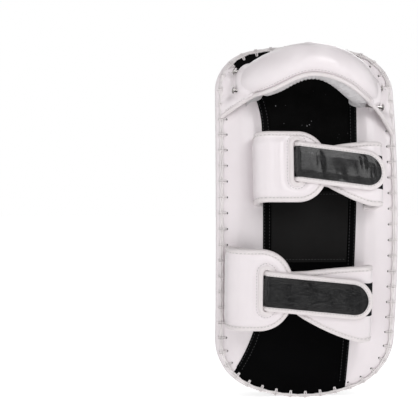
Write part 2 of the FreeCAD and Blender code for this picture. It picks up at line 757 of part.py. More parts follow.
def main():
    os.makedirs("parts", exist_ok=True)
    make_pad_body()
    stitches = make_lacing()
    make_back_panels()
    make_guard_roll()
    make_guard_fasteners()
    make_flap("guard_flap_left", -1, stitches)
    make_flap("guard_flap_right", 1, stitches)
    for strap in (UPPER, LOWER):
        make_left_cuff(strap)
        make_right_cuff(strap)
        make_tongue(strap)


main()
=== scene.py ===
"""Thai pad: the visible surfaces of a padded forearm shield, built over its packed construction.

All shapes are worked out in millimetres in the construction's own frame and scaled to metres when
their mesh is made. +Z runs towards the hand guard, -Y leaves the back, +Y leaves the strike face.
"""

import math

import bmesh
import bpy
import numpy as np
from bpy.props import FloatProperty, FloatVectorProperty, PointerProperty
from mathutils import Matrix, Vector


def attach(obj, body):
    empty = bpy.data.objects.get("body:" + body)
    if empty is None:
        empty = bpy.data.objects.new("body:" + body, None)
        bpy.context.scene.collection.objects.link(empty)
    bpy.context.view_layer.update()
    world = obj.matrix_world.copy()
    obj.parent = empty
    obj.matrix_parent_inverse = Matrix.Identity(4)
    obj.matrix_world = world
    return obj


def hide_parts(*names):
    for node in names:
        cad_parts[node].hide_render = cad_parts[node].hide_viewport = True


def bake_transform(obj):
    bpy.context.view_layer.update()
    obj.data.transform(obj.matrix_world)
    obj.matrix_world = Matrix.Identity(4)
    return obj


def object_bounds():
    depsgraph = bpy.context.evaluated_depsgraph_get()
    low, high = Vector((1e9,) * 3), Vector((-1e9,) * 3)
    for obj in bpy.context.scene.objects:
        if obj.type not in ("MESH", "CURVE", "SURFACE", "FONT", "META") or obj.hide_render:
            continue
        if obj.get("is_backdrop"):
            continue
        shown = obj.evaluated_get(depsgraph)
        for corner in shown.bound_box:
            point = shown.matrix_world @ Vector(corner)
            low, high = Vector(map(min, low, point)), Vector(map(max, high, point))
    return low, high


bl_info = {
    "name": "Thai pad",
    "version": (1, 0, 0),
    "blender": (4, 5, 0),
    "location": "3D View > Sidebar > Thai pad",
    "description": "Builds the leather, lacing, hand guard and straps of a thai pad",
    "category": "Add Mesh",
}

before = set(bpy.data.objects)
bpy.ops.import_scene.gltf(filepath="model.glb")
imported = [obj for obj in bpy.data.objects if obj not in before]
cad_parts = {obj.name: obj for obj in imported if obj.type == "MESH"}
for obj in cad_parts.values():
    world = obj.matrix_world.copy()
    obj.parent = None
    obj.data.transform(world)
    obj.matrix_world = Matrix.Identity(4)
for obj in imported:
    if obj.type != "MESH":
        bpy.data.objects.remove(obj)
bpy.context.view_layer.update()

MM = 0.001
WELD = 2e-6
PAD = "pad"

# ---- Sizes of the construction, in millimetres --------------------------------------------------
BODY_LENGTH = 384.0
BODY_WIDTH = 190.0
PAD_THICKNESS = 80.0
BOW_DEPTH = 35.0
TOP_CORNER = 48.0
TOP_CROWN = 260.0
LOW_CORNER = 62.0
LOW_CROWN = 140.0
END_TAPER = 20.0
SIDE_TAPER = 4.0
LEATHER = 2.0
FACE_SEAM = 62.0
SHOULDER = 12.0
HALF_LENGTH = BODY_LENGTH / 2
BACK_RADIUS = (HALF_LENGTH ** 2 + BOW_DEPTH ** 2) / (2 * BOW_DEPTH)
LEFT_BORDER = -49.0
LEFT_BORDER_TOP = 100.0
LEFT_BORDER_BOTTOM = -60.0
TOP_FLARE = 101.0
BOTTOM_FLARE = 200.0
RIGHT_BORDER_TOP = 57.0
RIGHT_BORDER_BOTTOM = 46.0
SUEDE_END = 33.0
PATCH_BOTTOM = -43.0
STRIP_WIDTH = 8.5
STITCH_SPACING = 17.0
GUARD_RADIUS = 64.5
GUARD_STATION = 134.5
GUARD_LEAN = 33.0
GUARD_TILT = 6.0
ROLL_THICKNESS = 32.0
ROLL_WIDTH = 40.0
GUARD_WALL = 79.0
CUFF = 5.5
TONGUE_WIDTH = 42.0
TONGUE = 3.6
BINDING = 5.5
TONGUE_BINDING = 5.0
LIP = 0.6
STACK_NECK = 32.75
STACK_LEFT = 39.75
STACK_RIGHT = 38.55
LEFT_TOP = 42.5
HINGE_HEIGHT = 45.8
SLOT_HALF = CUFF / 2 + LIP
SLOT_REACH = TONGUE_WIDTH / 2 - 2.6

# Each strap's places; a crease of its tongue is (run, share across, half length, half width, depth).
UPPER = {
    "name": "upper", "station": 54.0, "left_seam": 4.0, "left_fold": -60.0, "left_foot": 12.0,
    "left_bend": 11.0, "left_end": 13.0, "left_width": 74.0, "left_corner": 31.0, "slot": -19.0,
    "slot_rise": 5.0, "left_sink": 1.0, "right_sink": 0.0, "right_seam": 6.0, "right_fold": 73.0,
    "right_bend": 9.0, "right_width": 68.0, "right_drop": 7.0, "tip": 74.0, "fall": 7.0,
    "creases": ((32.0, 0.6, 4.0, 14.0, 0.9), (54.0, 0.3, 6.0, 12.0, 1.1), (78.0, 0.7, 4.0, 11.0, 1.1),
                (88.0, 0.4, 3.5, 12.0, 0.9), (66.0, 0.5, 7.0, 16.0, 0.7)),
}
LOWER = {
    "name": "lower", "station": -65.5, "left_seam": 9.0, "left_fold": -90.0, "left_foot": 0.5,
    "left_bend": 16.0, "left_end": -23.0, "left_width": 86.0, "left_corner": 34.0, "slot": -51.0,
    "slot_rise": 0.0, "left_sink": 6.0, "right_sink": 7.0, "right_seam": 1.5, "right_fold": 62.5,
    "right_bend": 9.0, "right_width": 81.0, "right_drop": 16.0, "tip": 61.0, "fall": 5.8,
    "creases": ((30.0, 0.4, 5.0, 13.0, 0.9), (50.0, 0.7, 7.0, 14.0, 1.0), (96.0, 0.5, 3.0, 14.0, 1.1),
                (105.0, 0.45, 2.5, 13.0, 1.1), (113.0, 0.55, 2.5, 12.0, 0.9),
                (74.0, 0.3, 5.0, 12.0, 0.6)),
}

# ---- Sizes of the finish, in millimetres --------------------------------------------------------
# A PITCH is the step of a stitch row, a TUCK how far a piece or row lies inside its binding's
# width, a LIFT how far a sheet or row stands out; THREAD_SHARE is how much of a step is thread.
THREAD_RADIUS = 0.42
THREAD_SHARE = 0.66
FACE_INSET = 3.0
FACE_REACH = 62.0
GUSSET_START = 7.0
GUSSET_BULGE = 2.2
PIPING_RADIUS = 2.7
PIPING_INSET = 1.3
PIPING_DEPTH = FACE_SEAM + 0.6
PANEL_LIFT = 0.15
PANEL_WAVE = 0.5
CENTRE_LIFT = 0.3
PATCH_LIFT = 1.4
STRIP_HEIGHT = 1.3
BACK_PITCH = 3.4
CORD_INSET = 1.9
CORD_DEPTH = -1.35
CORD_SPREAD = 1.05
CORD_PINCH = 0.55
CORD_WAVE = 0.45
LOCK_SPREAD = 0.75
LOCK_THICKNESS = 0.66
LOCK_STEP = 1.3
HOLE_INSET = 7.4
ROLL_POWER = 2.0 / 2.5
ROLL_FOOT_TUCK = 9.0
WALL_EASE = 3.0
GUARD_BINDING_RADIUS = 2.35
GUARD_STITCH_GAP = 5.4
WING_GROW = 1.2
# Lower and upper height at which a wing meets the rim, by side.
WING_RIM = {1: (94.0, 146.0), -1: (112.0, 166.0)}
EDGE_PITCH = 3.6
FINE_PITCH = 3.2
BINDING_TUCK = 1.5
TONGUE_TUCK = 1.4
ROW_TUCK = 1.3
ROW_LIFT = 0.12
LINING_TOP = -CUFF / 2 + 1.0
LINING_BOTTOM = -CUFF / 2 - 0.1
LOOP_THICKNESS = 1.1
SLOT_EASE = 0.6
SLOT_ROW = 6.7
SLOT_GROOVE = 10.0
SLOT_RIDGE = 17.0
TONGUE_BEND = 3.2
TONGUE_PUFF = 1.1


# ---- Small mathematics --------------------------------------------------------------------------
def ease(value):
    """Smooth step of a value clipped to 0..1."""
    value = np.clip(value, 0.0, 1.0)
    return value * value * (3.0 - 2.0 * value)


def bell(value, centre, width):
    """A bump of height one: exp of minus the squared share of its width from its centre."""
    return np.exp(-((value - centre) / width) ** 2)


def lerp(start, end, part):
    """The value a part of the way from start to end."""
    return start + (end - start) * part


def depth_y(z, depth):
    """y of the layer `depth` below the back, at height z along the pad."""
    return BACK_RADIUS - np.sqrt((BACK_RADIUS - depth) ** 2 - np.square(z))


def on_back(x, z, height):
    """Place points on the back: across, along, and a height above its leather."""
    x, y, z = np.broadcast_arrays(x, depth_y(z, -height), z)
    return np.stack([x, y, z], axis=-1)


def polyline_distance(x, z, line):
    """Distance from each point to the nearest point of a dense polyline."""
    gap_x = x[..., None] - line[:, 0]
    gap_z = z[..., None] - line[:, 1]
    return np.sqrt(gap_x ** 2 + gap_z ** 2).min(axis=-1)


def run_along(curve):
    """Length of a polyline from its start to each of its points."""
    gaps = np.linalg.norm(np.diff(curve, axis=0), axis=1)
    return np.concatenate([[0.0], np.cumsum(gaps)])


def resample(curve, step, closed=False):
    """Points about `step` apart along a polyline of any dimension."""
    if closed:
        curve = np.concatenate([curve, curve[:1]])
    run = run_along(curve)
    count = max(int(round(run[-1] / step)), 2)
    places = np.linspace(0.0, run[-1], count + 1)
    if closed:
        places = places[:-1]
    axes = [np.interp(places, run, curve[:, axis]) for axis in range(curve.shape[1])]
    return np.stack(axes, axis=1)


def directions(curve, closed=False):
    """Unit direction of a polyline at each of its points."""
    if closed:
        along = np.roll(curve, -1, axis=0) - np.roll(curve, 1, axis=0)
    else:
        along = np.gradient(curve, axis=0)
    return along / np.maximum(np.linalg.norm(along, axis=1, keepdims=True), 1e-9)


def right_of(along):
    """Directions on a sheet turned a quarter to their right: (a, b) becomes (b, -a)."""
    return np.stack([along[:, 1], -along[:, 0]], axis=1)


def halve(inside, beyond, holds, rounds):
    """The furthest place from `inside` towards `beyond` at which `holds` is true, by halving."""
    for _ in range(rounds):
        half = (inside + beyond) / 2
        good = holds(half)
        inside = np.where(good, half, inside)
        beyond = np.where(good, beyond, half)
    return inside


# ---- Mesh parts: (points, faces) ----------------------------------------------------------------
def grid(points, close_rows=False, close_columns=False):
    """Quads over a rows by columns lattice of points."""
    rows, columns = points.shape[:2]
    row = np.arange(rows if close_rows else rows - 1)
    column = np.arange(columns if close_columns else columns - 1)
    r, c = np.meshgrid(row, column, indexing="ij")
    below = ((r + 1) % rows) * columns
    beside = (c + 1) % columns
    faces = np.stack([r * columns + c, r * columns + beside, below + beside, below + c], axis=-1)
    return points.reshape(-1, 3), faces.reshape(-1, 4).tolist()


def slab(top, bottom):
    """A closed sheet between two lattices of the same size."""
    rows, columns = top.shape[:2]
    loop = np.concatenate([top, bottom[:, ::-1]], axis=1)
    points, faces = grid(loop, close_columns=True)
    wide = 2 * columns
    last = (rows - 1) * wide
    for j in range(columns - 1):
        faces.append([j + 1, j, wide - 1 - j, wide - 2 - j])
        faces.append([last + j, last + j + 1, last + wide - 2 - j, last + wide - 1 - j])
    return points, faces


def ribbon(place, curve, section, closed=False):
    """Sweep a closed section (across the sheet, out of the sheet) along a curve drawn on a sheet.

    Each point is the curve's point plus its right-hand direction times the section's first number,
    lifted out of the sheet by the section's second.
    """
    across = right_of(directions(curve, closed))
    section = np.asarray(section, float)
    u = curve[:, None, 0] + across[:, None, 0] * section[None, :, 0]
    v = curve[:, None, 1] + across[:, None, 1] * section[None, :, 0]
    points, faces = grid(place(u, v, np.broadcast_to(section[None, :, 1], u.shape)), closed, True)
    if not closed:
        count = len(section)
        faces.append(list(range(count)))
        faces.append([len(points) - 1 - k for k in range(count)])
    return points, faces


def stitch_row(place, curve, pitch, height, closed=False):
    """A row of thread stitches: short blunt sausages laid end to end along a curve on a sheet.

    Each stitch has five rings of five points, thickest and highest in its middle.
    """
    spots = resample(curve, pitch, closed)
    if not closed:
        spots = (spots[1:] + spots[:-1]) / 2
    along = directions(spots, closed)
    across = right_of(along)
    reach = np.array([-0.5, -0.36, 0.0, 0.36, 0.5]) * pitch * THREAD_SHARE
    girth = np.array([0.25, 0.85, 1.0, 0.85, 0.25]) * THREAD_RADIUS
    sink = np.array([-0.6, -0.15, 0.25, -0.15, -0.6]) * THREAD_RADIUS
    angle = np.linspace(0.0, math.tau, 5, endpoint=False)
    side = girth[:, None] * np.cos(angle)
    rise = girth[:, None] * np.sin(angle) + sink[:, None]
    u, v = (spots[:, None, None, axis] + along[:, None, None, axis] * reach[:, None]
            + across[:, None, None, axis] * side for axis in range(2))
    rings, sides = rise.shape
    points = place(u, v, np.broadcast_to(height + rise, u.shape)).reshape(-1, rings * sides, 3)
    return repeat_part(points, capsule_faces(rings, sides))


def capsule_faces(rings, sides):
    """Faces of one open-ended tube of rings, with a cap at each end."""
    faces = []
    for r in range(rings - 1):
        for k in range(sides):
            n = (k + 1) % sides
            faces.append([r * sides + k, r * sides + n, (r + 1) * sides + n, (r + 1) * sides + k])
    faces.append(list(range(sides))[::-1])
    faces.append([(rings - 1) * sides + k for k in range(sides)])
    return faces


def repeat_part(points, faces):
    """The same faces over each of many equal sets of points."""
    count = points.shape[1]
    made = []
    for number in range(points.shape[0]):
        made.extend([[corner + number * count for corner in face] for face in faces])
    return points.reshape(-1, 3), made


def tube(path, radius, sides=8, closed=False):
    """A round tube along a 3-D path, its rings turned as little as possible from one to the next.

    A ring's point is the path's point plus radius times (side cos angle + up sin angle).
    """
    along = directions(path, closed)
    side = np.cross(along[0], (0.0, 0.0, 1.0))
    if np.linalg.norm(side) < 0.1:
        side = np.cross(along[0], (0.0, 1.0, 0.0))
    carried = []
    for direction in along:
        side = side - direction * np.dot(side, direction)
        side = side / np.linalg.norm(side)
        carried.append(side)
    side = np.array(carried)
    up = np.cross(along, side)
    angle = np.linspace(0.0, math.tau, sides, endpoint=False)
    radius = np.broadcast_to(radius, (len(path),))[:, None, None]
    ring = (side[:, None] * np.cos(angle)[:, None] + up[:, None] * np.sin(angle)[:, None]) * radius
    points, faces = grid(path[:, None] + ring, closed, True)
    if not closed:
        faces.append(list(range(sides)))
        faces.append([len(points) - 1 - k for k in range(sides)])
    return points, faces


def join(parts):
    """Several (points, faces) parts as one."""
    points = []
    faces = []
    offset = 0
    for part_points, part_faces in parts:
        points.append(part_points)
        faces.extend([[corner + offset for corner in face] for face in part_faces])
        offset += len(part_points)
    return np.concatenate(points), faces


def make_piece(name, part, material, body=PAD, crease=50.0):
    """Link a mesh object with welded poles and seams and outward faces, and let it ride on a body."""
    points, faces = part
    mesh = bpy.data.meshes.new(name)
    mesh.from_pydata((points * MM).tolist(), [], faces)
    work = bmesh.new()
    work.from_mesh(mesh)
    bmesh.ops.remove_doubles(work, verts=work.verts, dist=WELD)
    bmesh.ops.recalc_face_normals(work, faces=work.faces)
    work.to_mesh(mesh)
    work.free()
    mesh.polygons.foreach_set("use_smooth", [True] * len(mesh.polygons))
    mesh.set_sharp_from_angle(angle=math.radians(crease))
    mesh.materials.append(material)
    piece = bpy.data.objects.new(name, mesh)
    bpy.context.scene.collection.objects.link(piece)
    if body:
        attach(piece, body)
    return piece


# ---- Materials ----------------------------------------------------------------------------------
def new_group(name, inputs, outputs):
    """An empty node group with number sockets; returns its tree, input, output and object place."""
    group = bpy.data.node_groups.new(name, "ShaderNodeTree")
    for socket, default in inputs:
        made = group.interface.new_socket(name=socket, in_out="INPUT", socket_type="NodeSocketFloat")
        made.default_value = default
    for socket in outputs:
        group.interface.new_socket(name=socket, in_out="OUTPUT", socket_type="NodeSocketFloat")
    inside = group.nodes.new("NodeGroupInput")
    outside = group.nodes.new("NodeGroupOutput")
    where = group.nodes.new("ShaderNodeTexCoord").outputs["Object"]
    return group, inside, outside, where


def noise(tree, vector, scale, detail, roughness):
    """A noise texture over a vector."""
    node = tree.nodes.new("ShaderNodeTexNoise")
    node.inputs["Scale"].default_value = scale
    node.inputs["Detail"].default_value = detail
    node.inputs["Roughness"].default_value = roughness
    tree.links.new(vector, node.inputs["Vector"])
    return node


def math_node(tree, operation, first, second=0.0):
    """One sum of two numbers or sockets; returns its output."""
    node = tree.nodes.new("ShaderNodeMath")
    node.operation = operation
    for socket, value in zip(node.inputs, (first, second)):
        if isinstance(value, float):
            socket.default_value = value
        else:
            tree.links.new(value, socket)
    return node.outputs[0]


def remap(tree, value, low, high, out_low, out_high):
    """A value carried in a straight line from low..high to out_low..out_high, clipped there."""
    node = tree.nodes.new("ShaderNodeMapRange")
    names = ("From Min", "From Max", "To Min", "To Max")
    for name, number in zip(names, (low, high, out_low, out_high)):
        node.inputs[name].default_value = number
    tree.links.new(value, node.inputs["Value"])
    return node.outputs["Result"]


def hide_group():
    """Leather: pebbled grain, long soft wrinkles and cloudy tone, from the object's own coordinates."""
    inputs = (("Grain", 900.0), ("Wrinkles", 40.0), ("Wrinkle depth", 0.5))
    group, inside, outside, where = new_group("Hide", inputs, ("Height", "Tone"))
    pebble = group.nodes.new("ShaderNodeTexVoronoi")
    pebble.feature = "DISTANCE_TO_EDGE"
    group.links.new(where, pebble.inputs["Vector"])
    group.links.new(inside.outputs["Grain"], pebble.inputs["Scale"])
    grain = remap(group, pebble.outputs["Distance"], 0.0, 0.25, 0.0, 1.0)
    folds = noise(group, where, 40.0, 4.0, 0.5)
    folds.inputs["Distortion"].default_value = 1.2
    group.links.new(inside.outputs["Wrinkles"], folds.inputs["Scale"])
    ridge = math_node(group, "ABSOLUTE", math_node(group, "SUBTRACT", folds.outputs["Fac"], 0.5))
    ridge = math_node(group, "MULTIPLY", remap(group, ridge, 0.0, 0.12, 0.0, 1.0),
                      inside.outputs["Wrinkle depth"])
    height = math_node(group, "ADD", math_node(group, "MULTIPLY", grain, 0.35), ridge)
    cloud = noise(group, where, 14.0, 5.0, 0.6)
    group.links.new(height, outside.inputs["Height"])
    group.links.new(cloud.outputs["Fac"], outside.inputs["Tone"])
    return group


def nap_group():
    """Brushed fibres: fine uneven height, patches of tone and a few pale specks of lint."""
    group, _, outside, where = new_group("Nap", (), ("Height", "Tone", "Lint"))
    fibre = noise(group, where, 900.0, 3.0, 0.7)
    tone = noise(group, where, 38.0, 4.0, 0.65)
    specks = group.nodes.new("ShaderNodeTexVoronoi")
    specks.inputs["Scale"].default_value = 260.0
    group.links.new(where, specks.inputs["Vector"])
    few = noise(group, where, 55.0, 2.0, 0.5)
    dots = remap(group, specks.outputs["Distance"], 0.10, 0.17, 1.0, 0.0)
    rare = remap(group, few.outputs["Fac"], 0.58, 0.70, 0.0, 1.0)
    group.links.new(fibre.outputs["Fac"], outside.inputs["Height"])
    group.links.new(tone.outputs["Fac"], outside.inputs["Tone"])
    group.links.new(math_node(group, "MULTIPLY", dots, rare), outside.inputs["Lint"])
    return group


def weave_group():
    """Plain weave: two crossed rows of threads as height, with a little tone."""
    group, _, outside, where = new_group("Weave", (), ("Height", "Tone"))
    rows = []
    for axis in ("X", "Z"):
        wave = group.nodes.new("ShaderNodeTexWave")
        wave.bands_direction = axis
        wave.inputs["Scale"].default_value = 260.0
        wave.inputs["Distortion"].default_value = 0.6
        group.links.new(where, wave.inputs["Vector"])
        rows.append(wave.outputs["Fac"])
    tone = noise(group, where, 120.0, 3.0, 0.6)
    group.links.new(math_node(group, "MAXIMUM", rows[0], rows[1]), outside.inputs["Height"])
    group.links.new(tone.outputs["Fac"], outside.inputs["Tone"])
    return group


def mix_colours(tree, factor, first, second):
    """A blend of two colours, each a colour or a socket; returns its output."""
    node = tree.nodes.new("ShaderNodeMix")
    node.data_type = "RGBA"
    for socket, colour in (("A", first), ("B", second)):
        if isinstance(colour, tuple):
            node.inputs[socket].default_value = (*colour, 1.0)
        else:
            tree.links.new(colour, node.inputs[socket])
    tree.links.new(factor, node.inputs["Factor"])
    return node.outputs["Result"]


def finish_material(name, group, light, drop, rough, bump, settings):
    """A material whose colour, roughness and bump come from one of the shared groups.

    Its tone runs from the light colour less `drop` up to the light colour.
    """
    material = bpy.data.materials.new(name)
    material.use_nodes = True
    tree = material.node_tree
    shader = tree.nodes["Principled BSDF"]
    effect = tree.nodes.new("ShaderNodeGroup")
    effect.node_tree = group
    for socket, value in settings:
        effect.inputs[socket].default_value = value
    tone = effect.outputs["Tone"]
    light = tuple(light)
    dark = tuple(np.maximum(np.array(light) - drop, 0.0))
    colour = mix_colours(tree, remap(tree, tone, *TONE_SPAN, 0.0, 1.0), dark, light)
    tree.links.new(remap(tree, tone, *TONE_SPAN, *rough), shader.inputs["Roughness"])
    relief = tree.nodes.new("ShaderNodeBump")
    relief.inputs["Strength"].default_value, relief.inputs["Distance"].default_value = bump
    tree.links.new(effect.outputs["Height"], relief.inputs["Height"])
    tree.links.new(relief.outputs["Normal"], shader.inputs["Normal"])
    if "Lint" in effect.outputs:
        colour = mix_colours(tree, effect.outputs["Lint"], colour, LINT_COLOUR)
    tree.links.new(colour, shader.inputs["Base Color"])
    for socket, value in SHADER_VALUES.get(name, {}).items():
        shader.inputs[socket].default_value = value


# Tone that counts as darkest and as lightest, and the colour of lint caught in a nap.
TONE_SPAN = (0.3, 0.7)
LINT_COLOUR = (0.42, 0.42, 0.44)
# Shader sockets that are the same all over a finish.
SHADER_VALUES = {
    "White leather": {"Coat Weight": 0.35, "Coat Roughness": 0.18},
    "Strike leather": {"Coat Weight": 0.35, "Coat Roughness": 0.18},
    "Black leather": {"Specular IOR Level": 0.02},
    "Tongue leather": {"Specular IOR Level": 0.5, "Coat Weight": 0.3, "Coat Roughness": 0.12},
    "Patch leather": {"Specular IOR Level": 0.05},
    "Suede": {"Specular IOR Level": 0.05},
    "Lining": {"Specular IOR Level": 0.05},
    "Hook and loop": {"Specular IOR Level": 0.05},
    "Nickel": {"Metallic": 1.0},
}
# Grain, wrinkles and their depth of each leather.
FINE = (("Grain", 1100.0), ("Wrinkles", 26.0), ("Wrinkle depth", 0.35))
CRINKLED = (("Grain", 900.0), ("Wrinkles", 210.0), ("Wrinkle depth", 0.9))
CREASED = (("Grain", 1000.0), ("Wrinkles", 42.0), ("Wrinkle depth", 1.6))


def make_materials(settings):
    """Every finish of the object: light colour, drop to its dark colour, roughness span, bump."""
    hide = hide_group()
    nap = nap_group()
    weave = weave_group()
    for name, group, light, drop, rough, bump, values in (
        ("White leather", hide, settings.white, 0.05, (0.28, 0.36), (0.30, 0.0006), FINE),
        ("Strike leather", hide, (0.82, 0.765, 0.785), 0.015, (0.23, 0.27), (0.20, 0.0006), FINE),
        ("Binding leather", hide, settings.binding, 0.07, (0.38, 0.5), (0.45, 0.0006), CRINKLED),
        ("Black leather", hide, settings.black, 0.0009, (0.34, 0.46), (0.35, 0.0005), FINE),
        ("Tongue leather", hide, (0.006, 0.006, 0.0065), 0.003, (0.13, 0.22), (0.7, 0.0022), CREASED),
        ("Patch leather", hide, (0.013, 0.0125, 0.0125), (0.005, 0.0047, 0.0047), (0.46, 0.6),
         (0.4, 0.0005), FINE),
        ("Thread", weave, (0.60, 0.58, 0.575), 0.1, (0.6, 0.75), (0.3, 0.0002), ()),
        ("Dark thread", weave, (0.035, 0.035, 0.037), (0.017, 0.017, 0.018), (0.6, 0.75),
         (0.3, 0.0002), ()),
        ("Lace", weave, settings.lace, (0.12, 0.115, 0.115), (0.55, 0.7), (0.5, 0.0003), ()),
        ("Suede", nap, settings.suede, 0.0027, (0.86, 0.96), (0.5, 0.0006), ()),
        ("Lining", nap, (0.012, 0.012, 0.013), 0.007, (0.75, 0.9), (0.3, 0.0004), ()),
        ("Pleats", weave, (0.62, 0.60, 0.61), 0.12, (0.55, 0.7), (0.4, 0.0004), ()),
        ("Foam", nap, (0.45, 0.44, 0.40), (0.09, 0.09, 0.08), (0.85, 0.95), (0.4, 0.0008), ()),
        ("Hook and loop", nap, (0.018, 0.018, 0.020), (0.012, 0.012, 0.013), (0.8, 0.95),
         (0.9, 0.0012), ()),
        ("Nickel", hide, (0.50, 0.48, 0.465), (0.14, 0.135, 0.13), (0.2, 0.32), (0.1, 0.0002), FINE),
    ):
        finish_material(name, group, light, drop, rough, bump, values)


# ---- The pad's rim ------------------------------------------------------------------------------
RIM_STEPS = (64, 26, 40, 26, 64, 30, 40, 30)
RIM_LEG = np.concatenate([np.full(steps, leg) for leg, steps in enumerate(RIM_STEPS)])
RIM_PART = np.concatenate([np.arange(steps) / steps for steps in RIM_STEPS])
RING_ROUNDS = 4


def end_shape(half, end, corner, crown):
    """Centres and join angle of one rounded end: a wide arc that two corner arcs run into.

    The crown's centre lies its radius below the end; each corner's centre lies its own radius in
    from the side, as far above the crown's centre as keeps the two arcs tangent.
    """
    centre_x = half - corner
    crown_z = end - crown
    centre_z = crown_z + np.sqrt((crown - corner) ** 2 - centre_x ** 2)
    return centre_x, centre_z, crown_z, np.arctan2(centre_x, centre_z - crown_z)


def rim(y, inset):
    """x, z and outward direction at every station of the outline; y and inset may differ by station.

    The outline is a loop of eight legs: a straight side, a corner, the top's crown, a corner, a
    side, a corner, the lower crown and a corner. It narrows towards the strike face.
    """
    half = BODY_WIDTH / 2 - SIDE_TAPER * y / PAD_THICKNESS - inset
    end = HALF_LENGTH - END_TAPER * (y - BOW_DEPTH) / PAD_THICKNESS - inset
    top_x, top_z, top_base, top_lean = end_shape(half, end, TOP_CORNER - inset, TOP_CROWN - inset)
    low_x, low_z, low_base, low_lean = end_shape(half, end, LOW_CORNER - inset, LOW_CROWN - inset)
    quarter = math.pi / 2
    part = RIM_PART
    angle = np.select([RIM_LEG == leg for leg in range(8)], [
        quarter, lerp(quarter, top_lean, part), lerp(top_lean, -top_lean, part),
        lerp(-top_lean, -quarter, part), -quarter, lerp(-quarter, -low_lean, part),
        lerp(-low_lean, low_lean, part), lerp(low_lean, quarter, part)])
    sine = np.sin(angle)
    cosine = np.cos(angle)
    high_corner = TOP_CORNER - inset
    low_corner = LOW_CORNER - inset
    x = np.select([RIM_LEG == leg for leg in range(8)], [
        half, top_x + high_corner * sine, (TOP_CROWN - inset) * sine, high_corner * sine - top_x,
        -half, low_corner * sine - low_x, (LOW_CROWN - inset) * sine, low_x + low_corner * sine])
    z = np.select([RIM_LEG == leg for leg in range(8)], [
        lerp(-low_z, top_z, part), top_z + high_corner * cosine,
        top_base + (TOP_CROWN - inset) * cosine, top_z + high_corner * cosine,
        lerp(top_z, -low_z, part), -low_z - low_corner * cosine,
        -low_base - (LOW_CROWN - inset) * cosine, -low_z - low_corner * cosine])
    up = np.where(RIM_LEG >= 5, -cosine, cosine)
    return x, z, sine, up


def rim_ring(depth, inset):
    """The outline carried onto the layer at a depth below the back."""
    y = np.zeros(len(RIM_LEG)) + depth
    for _ in range(RING_ROUNDS):
        x, z, _, _ = rim(y, inset)
        y = depth_y(z, depth)
    return np.stack([x, y, z], axis=-1)


def rim_loft(rows):
    """A closed section, given as (inset, depth) of each corner, carried round the rim."""
    rings = np.stack([rim_ring(depth, inset) for inset, depth in rows], axis=1)
    return grid(rings, True, True)


BACK_RIM = rim_ring(0.0, 0.0)
RIM_LINE = BACK_RIM[:, [0, 2]]
RIM_GAPS = np.linalg.norm(np.roll(BACK_RIM, -1, axis=0) - BACK_RIM, axis=1)
RIM_RUN = np.concatenate([[0.0], np.cumsum(RIM_GAPS)])
STITCH_COUNT = int(round(RIM_RUN[-1] / STITCH_SPACING))


def rim_x(z):
    """Half width of the back at a height."""
    right = RIM_LINE[RIM_LINE[:, 0] >= 0]
    order = np.argsort(right[:, 1])
    return np.interp(z, right[order, 1], right[order, 0])


def left_border(z):
    """x of the centre panel's left border: straight, with a circular flare at each end."""
    above = np.clip((z - LEFT_BORDER_TOP) / TOP_FLARE, 0.0, 0.98)
    below = np.clip((LEFT_BORDER_BOTTOM - z) / BOTTOM_FLARE, 0.0, 0.98)
    return (LEFT_BORDER - TOP_FLARE * (1 - np.sqrt(1 - above ** 2))
            - BOTTOM_FLARE * (1 - np.sqrt(1 - below ** 2)))


def right_border(z):
    """x of the centre panel's right border: a straight line that leans out towards the guard."""
    middle = (RIGHT_BORDER_TOP + RIGHT_BORDER_BOTTOM) / 2
    return middle + (RIGHT_BORDER_TOP - RIGHT_BORDER_BOTTOM) * z / BODY_LENGTH


def border_line(side, shift, margin):
    """A border as (x, z) points from its lower to its upper end, stopping short of the rim."""
    z = np.linspace(-HALF_LENGTH, HALF_LENGTH, 600)
    x = (left_border(z) if side < 0 else right_border(z)) + shift
    inside = np.abs(x) < rim_x(z)
    inside &= polyline_distance(x, z, RIM_LINE) > margin
    return np.stack([x[inside], z[inside]], axis=1)


# ---- Cloth inflation ----------------------------------------------------------------------------
CLOTH_FRAMES = 20


def vertex_places(piece):
    """Places of a piece's vertices, one row each."""
    places = np.empty(len(piece.data.vertices) * 3)
    piece.data.vertices.foreach_get("co", places)
    return places.reshape(-1, 3)


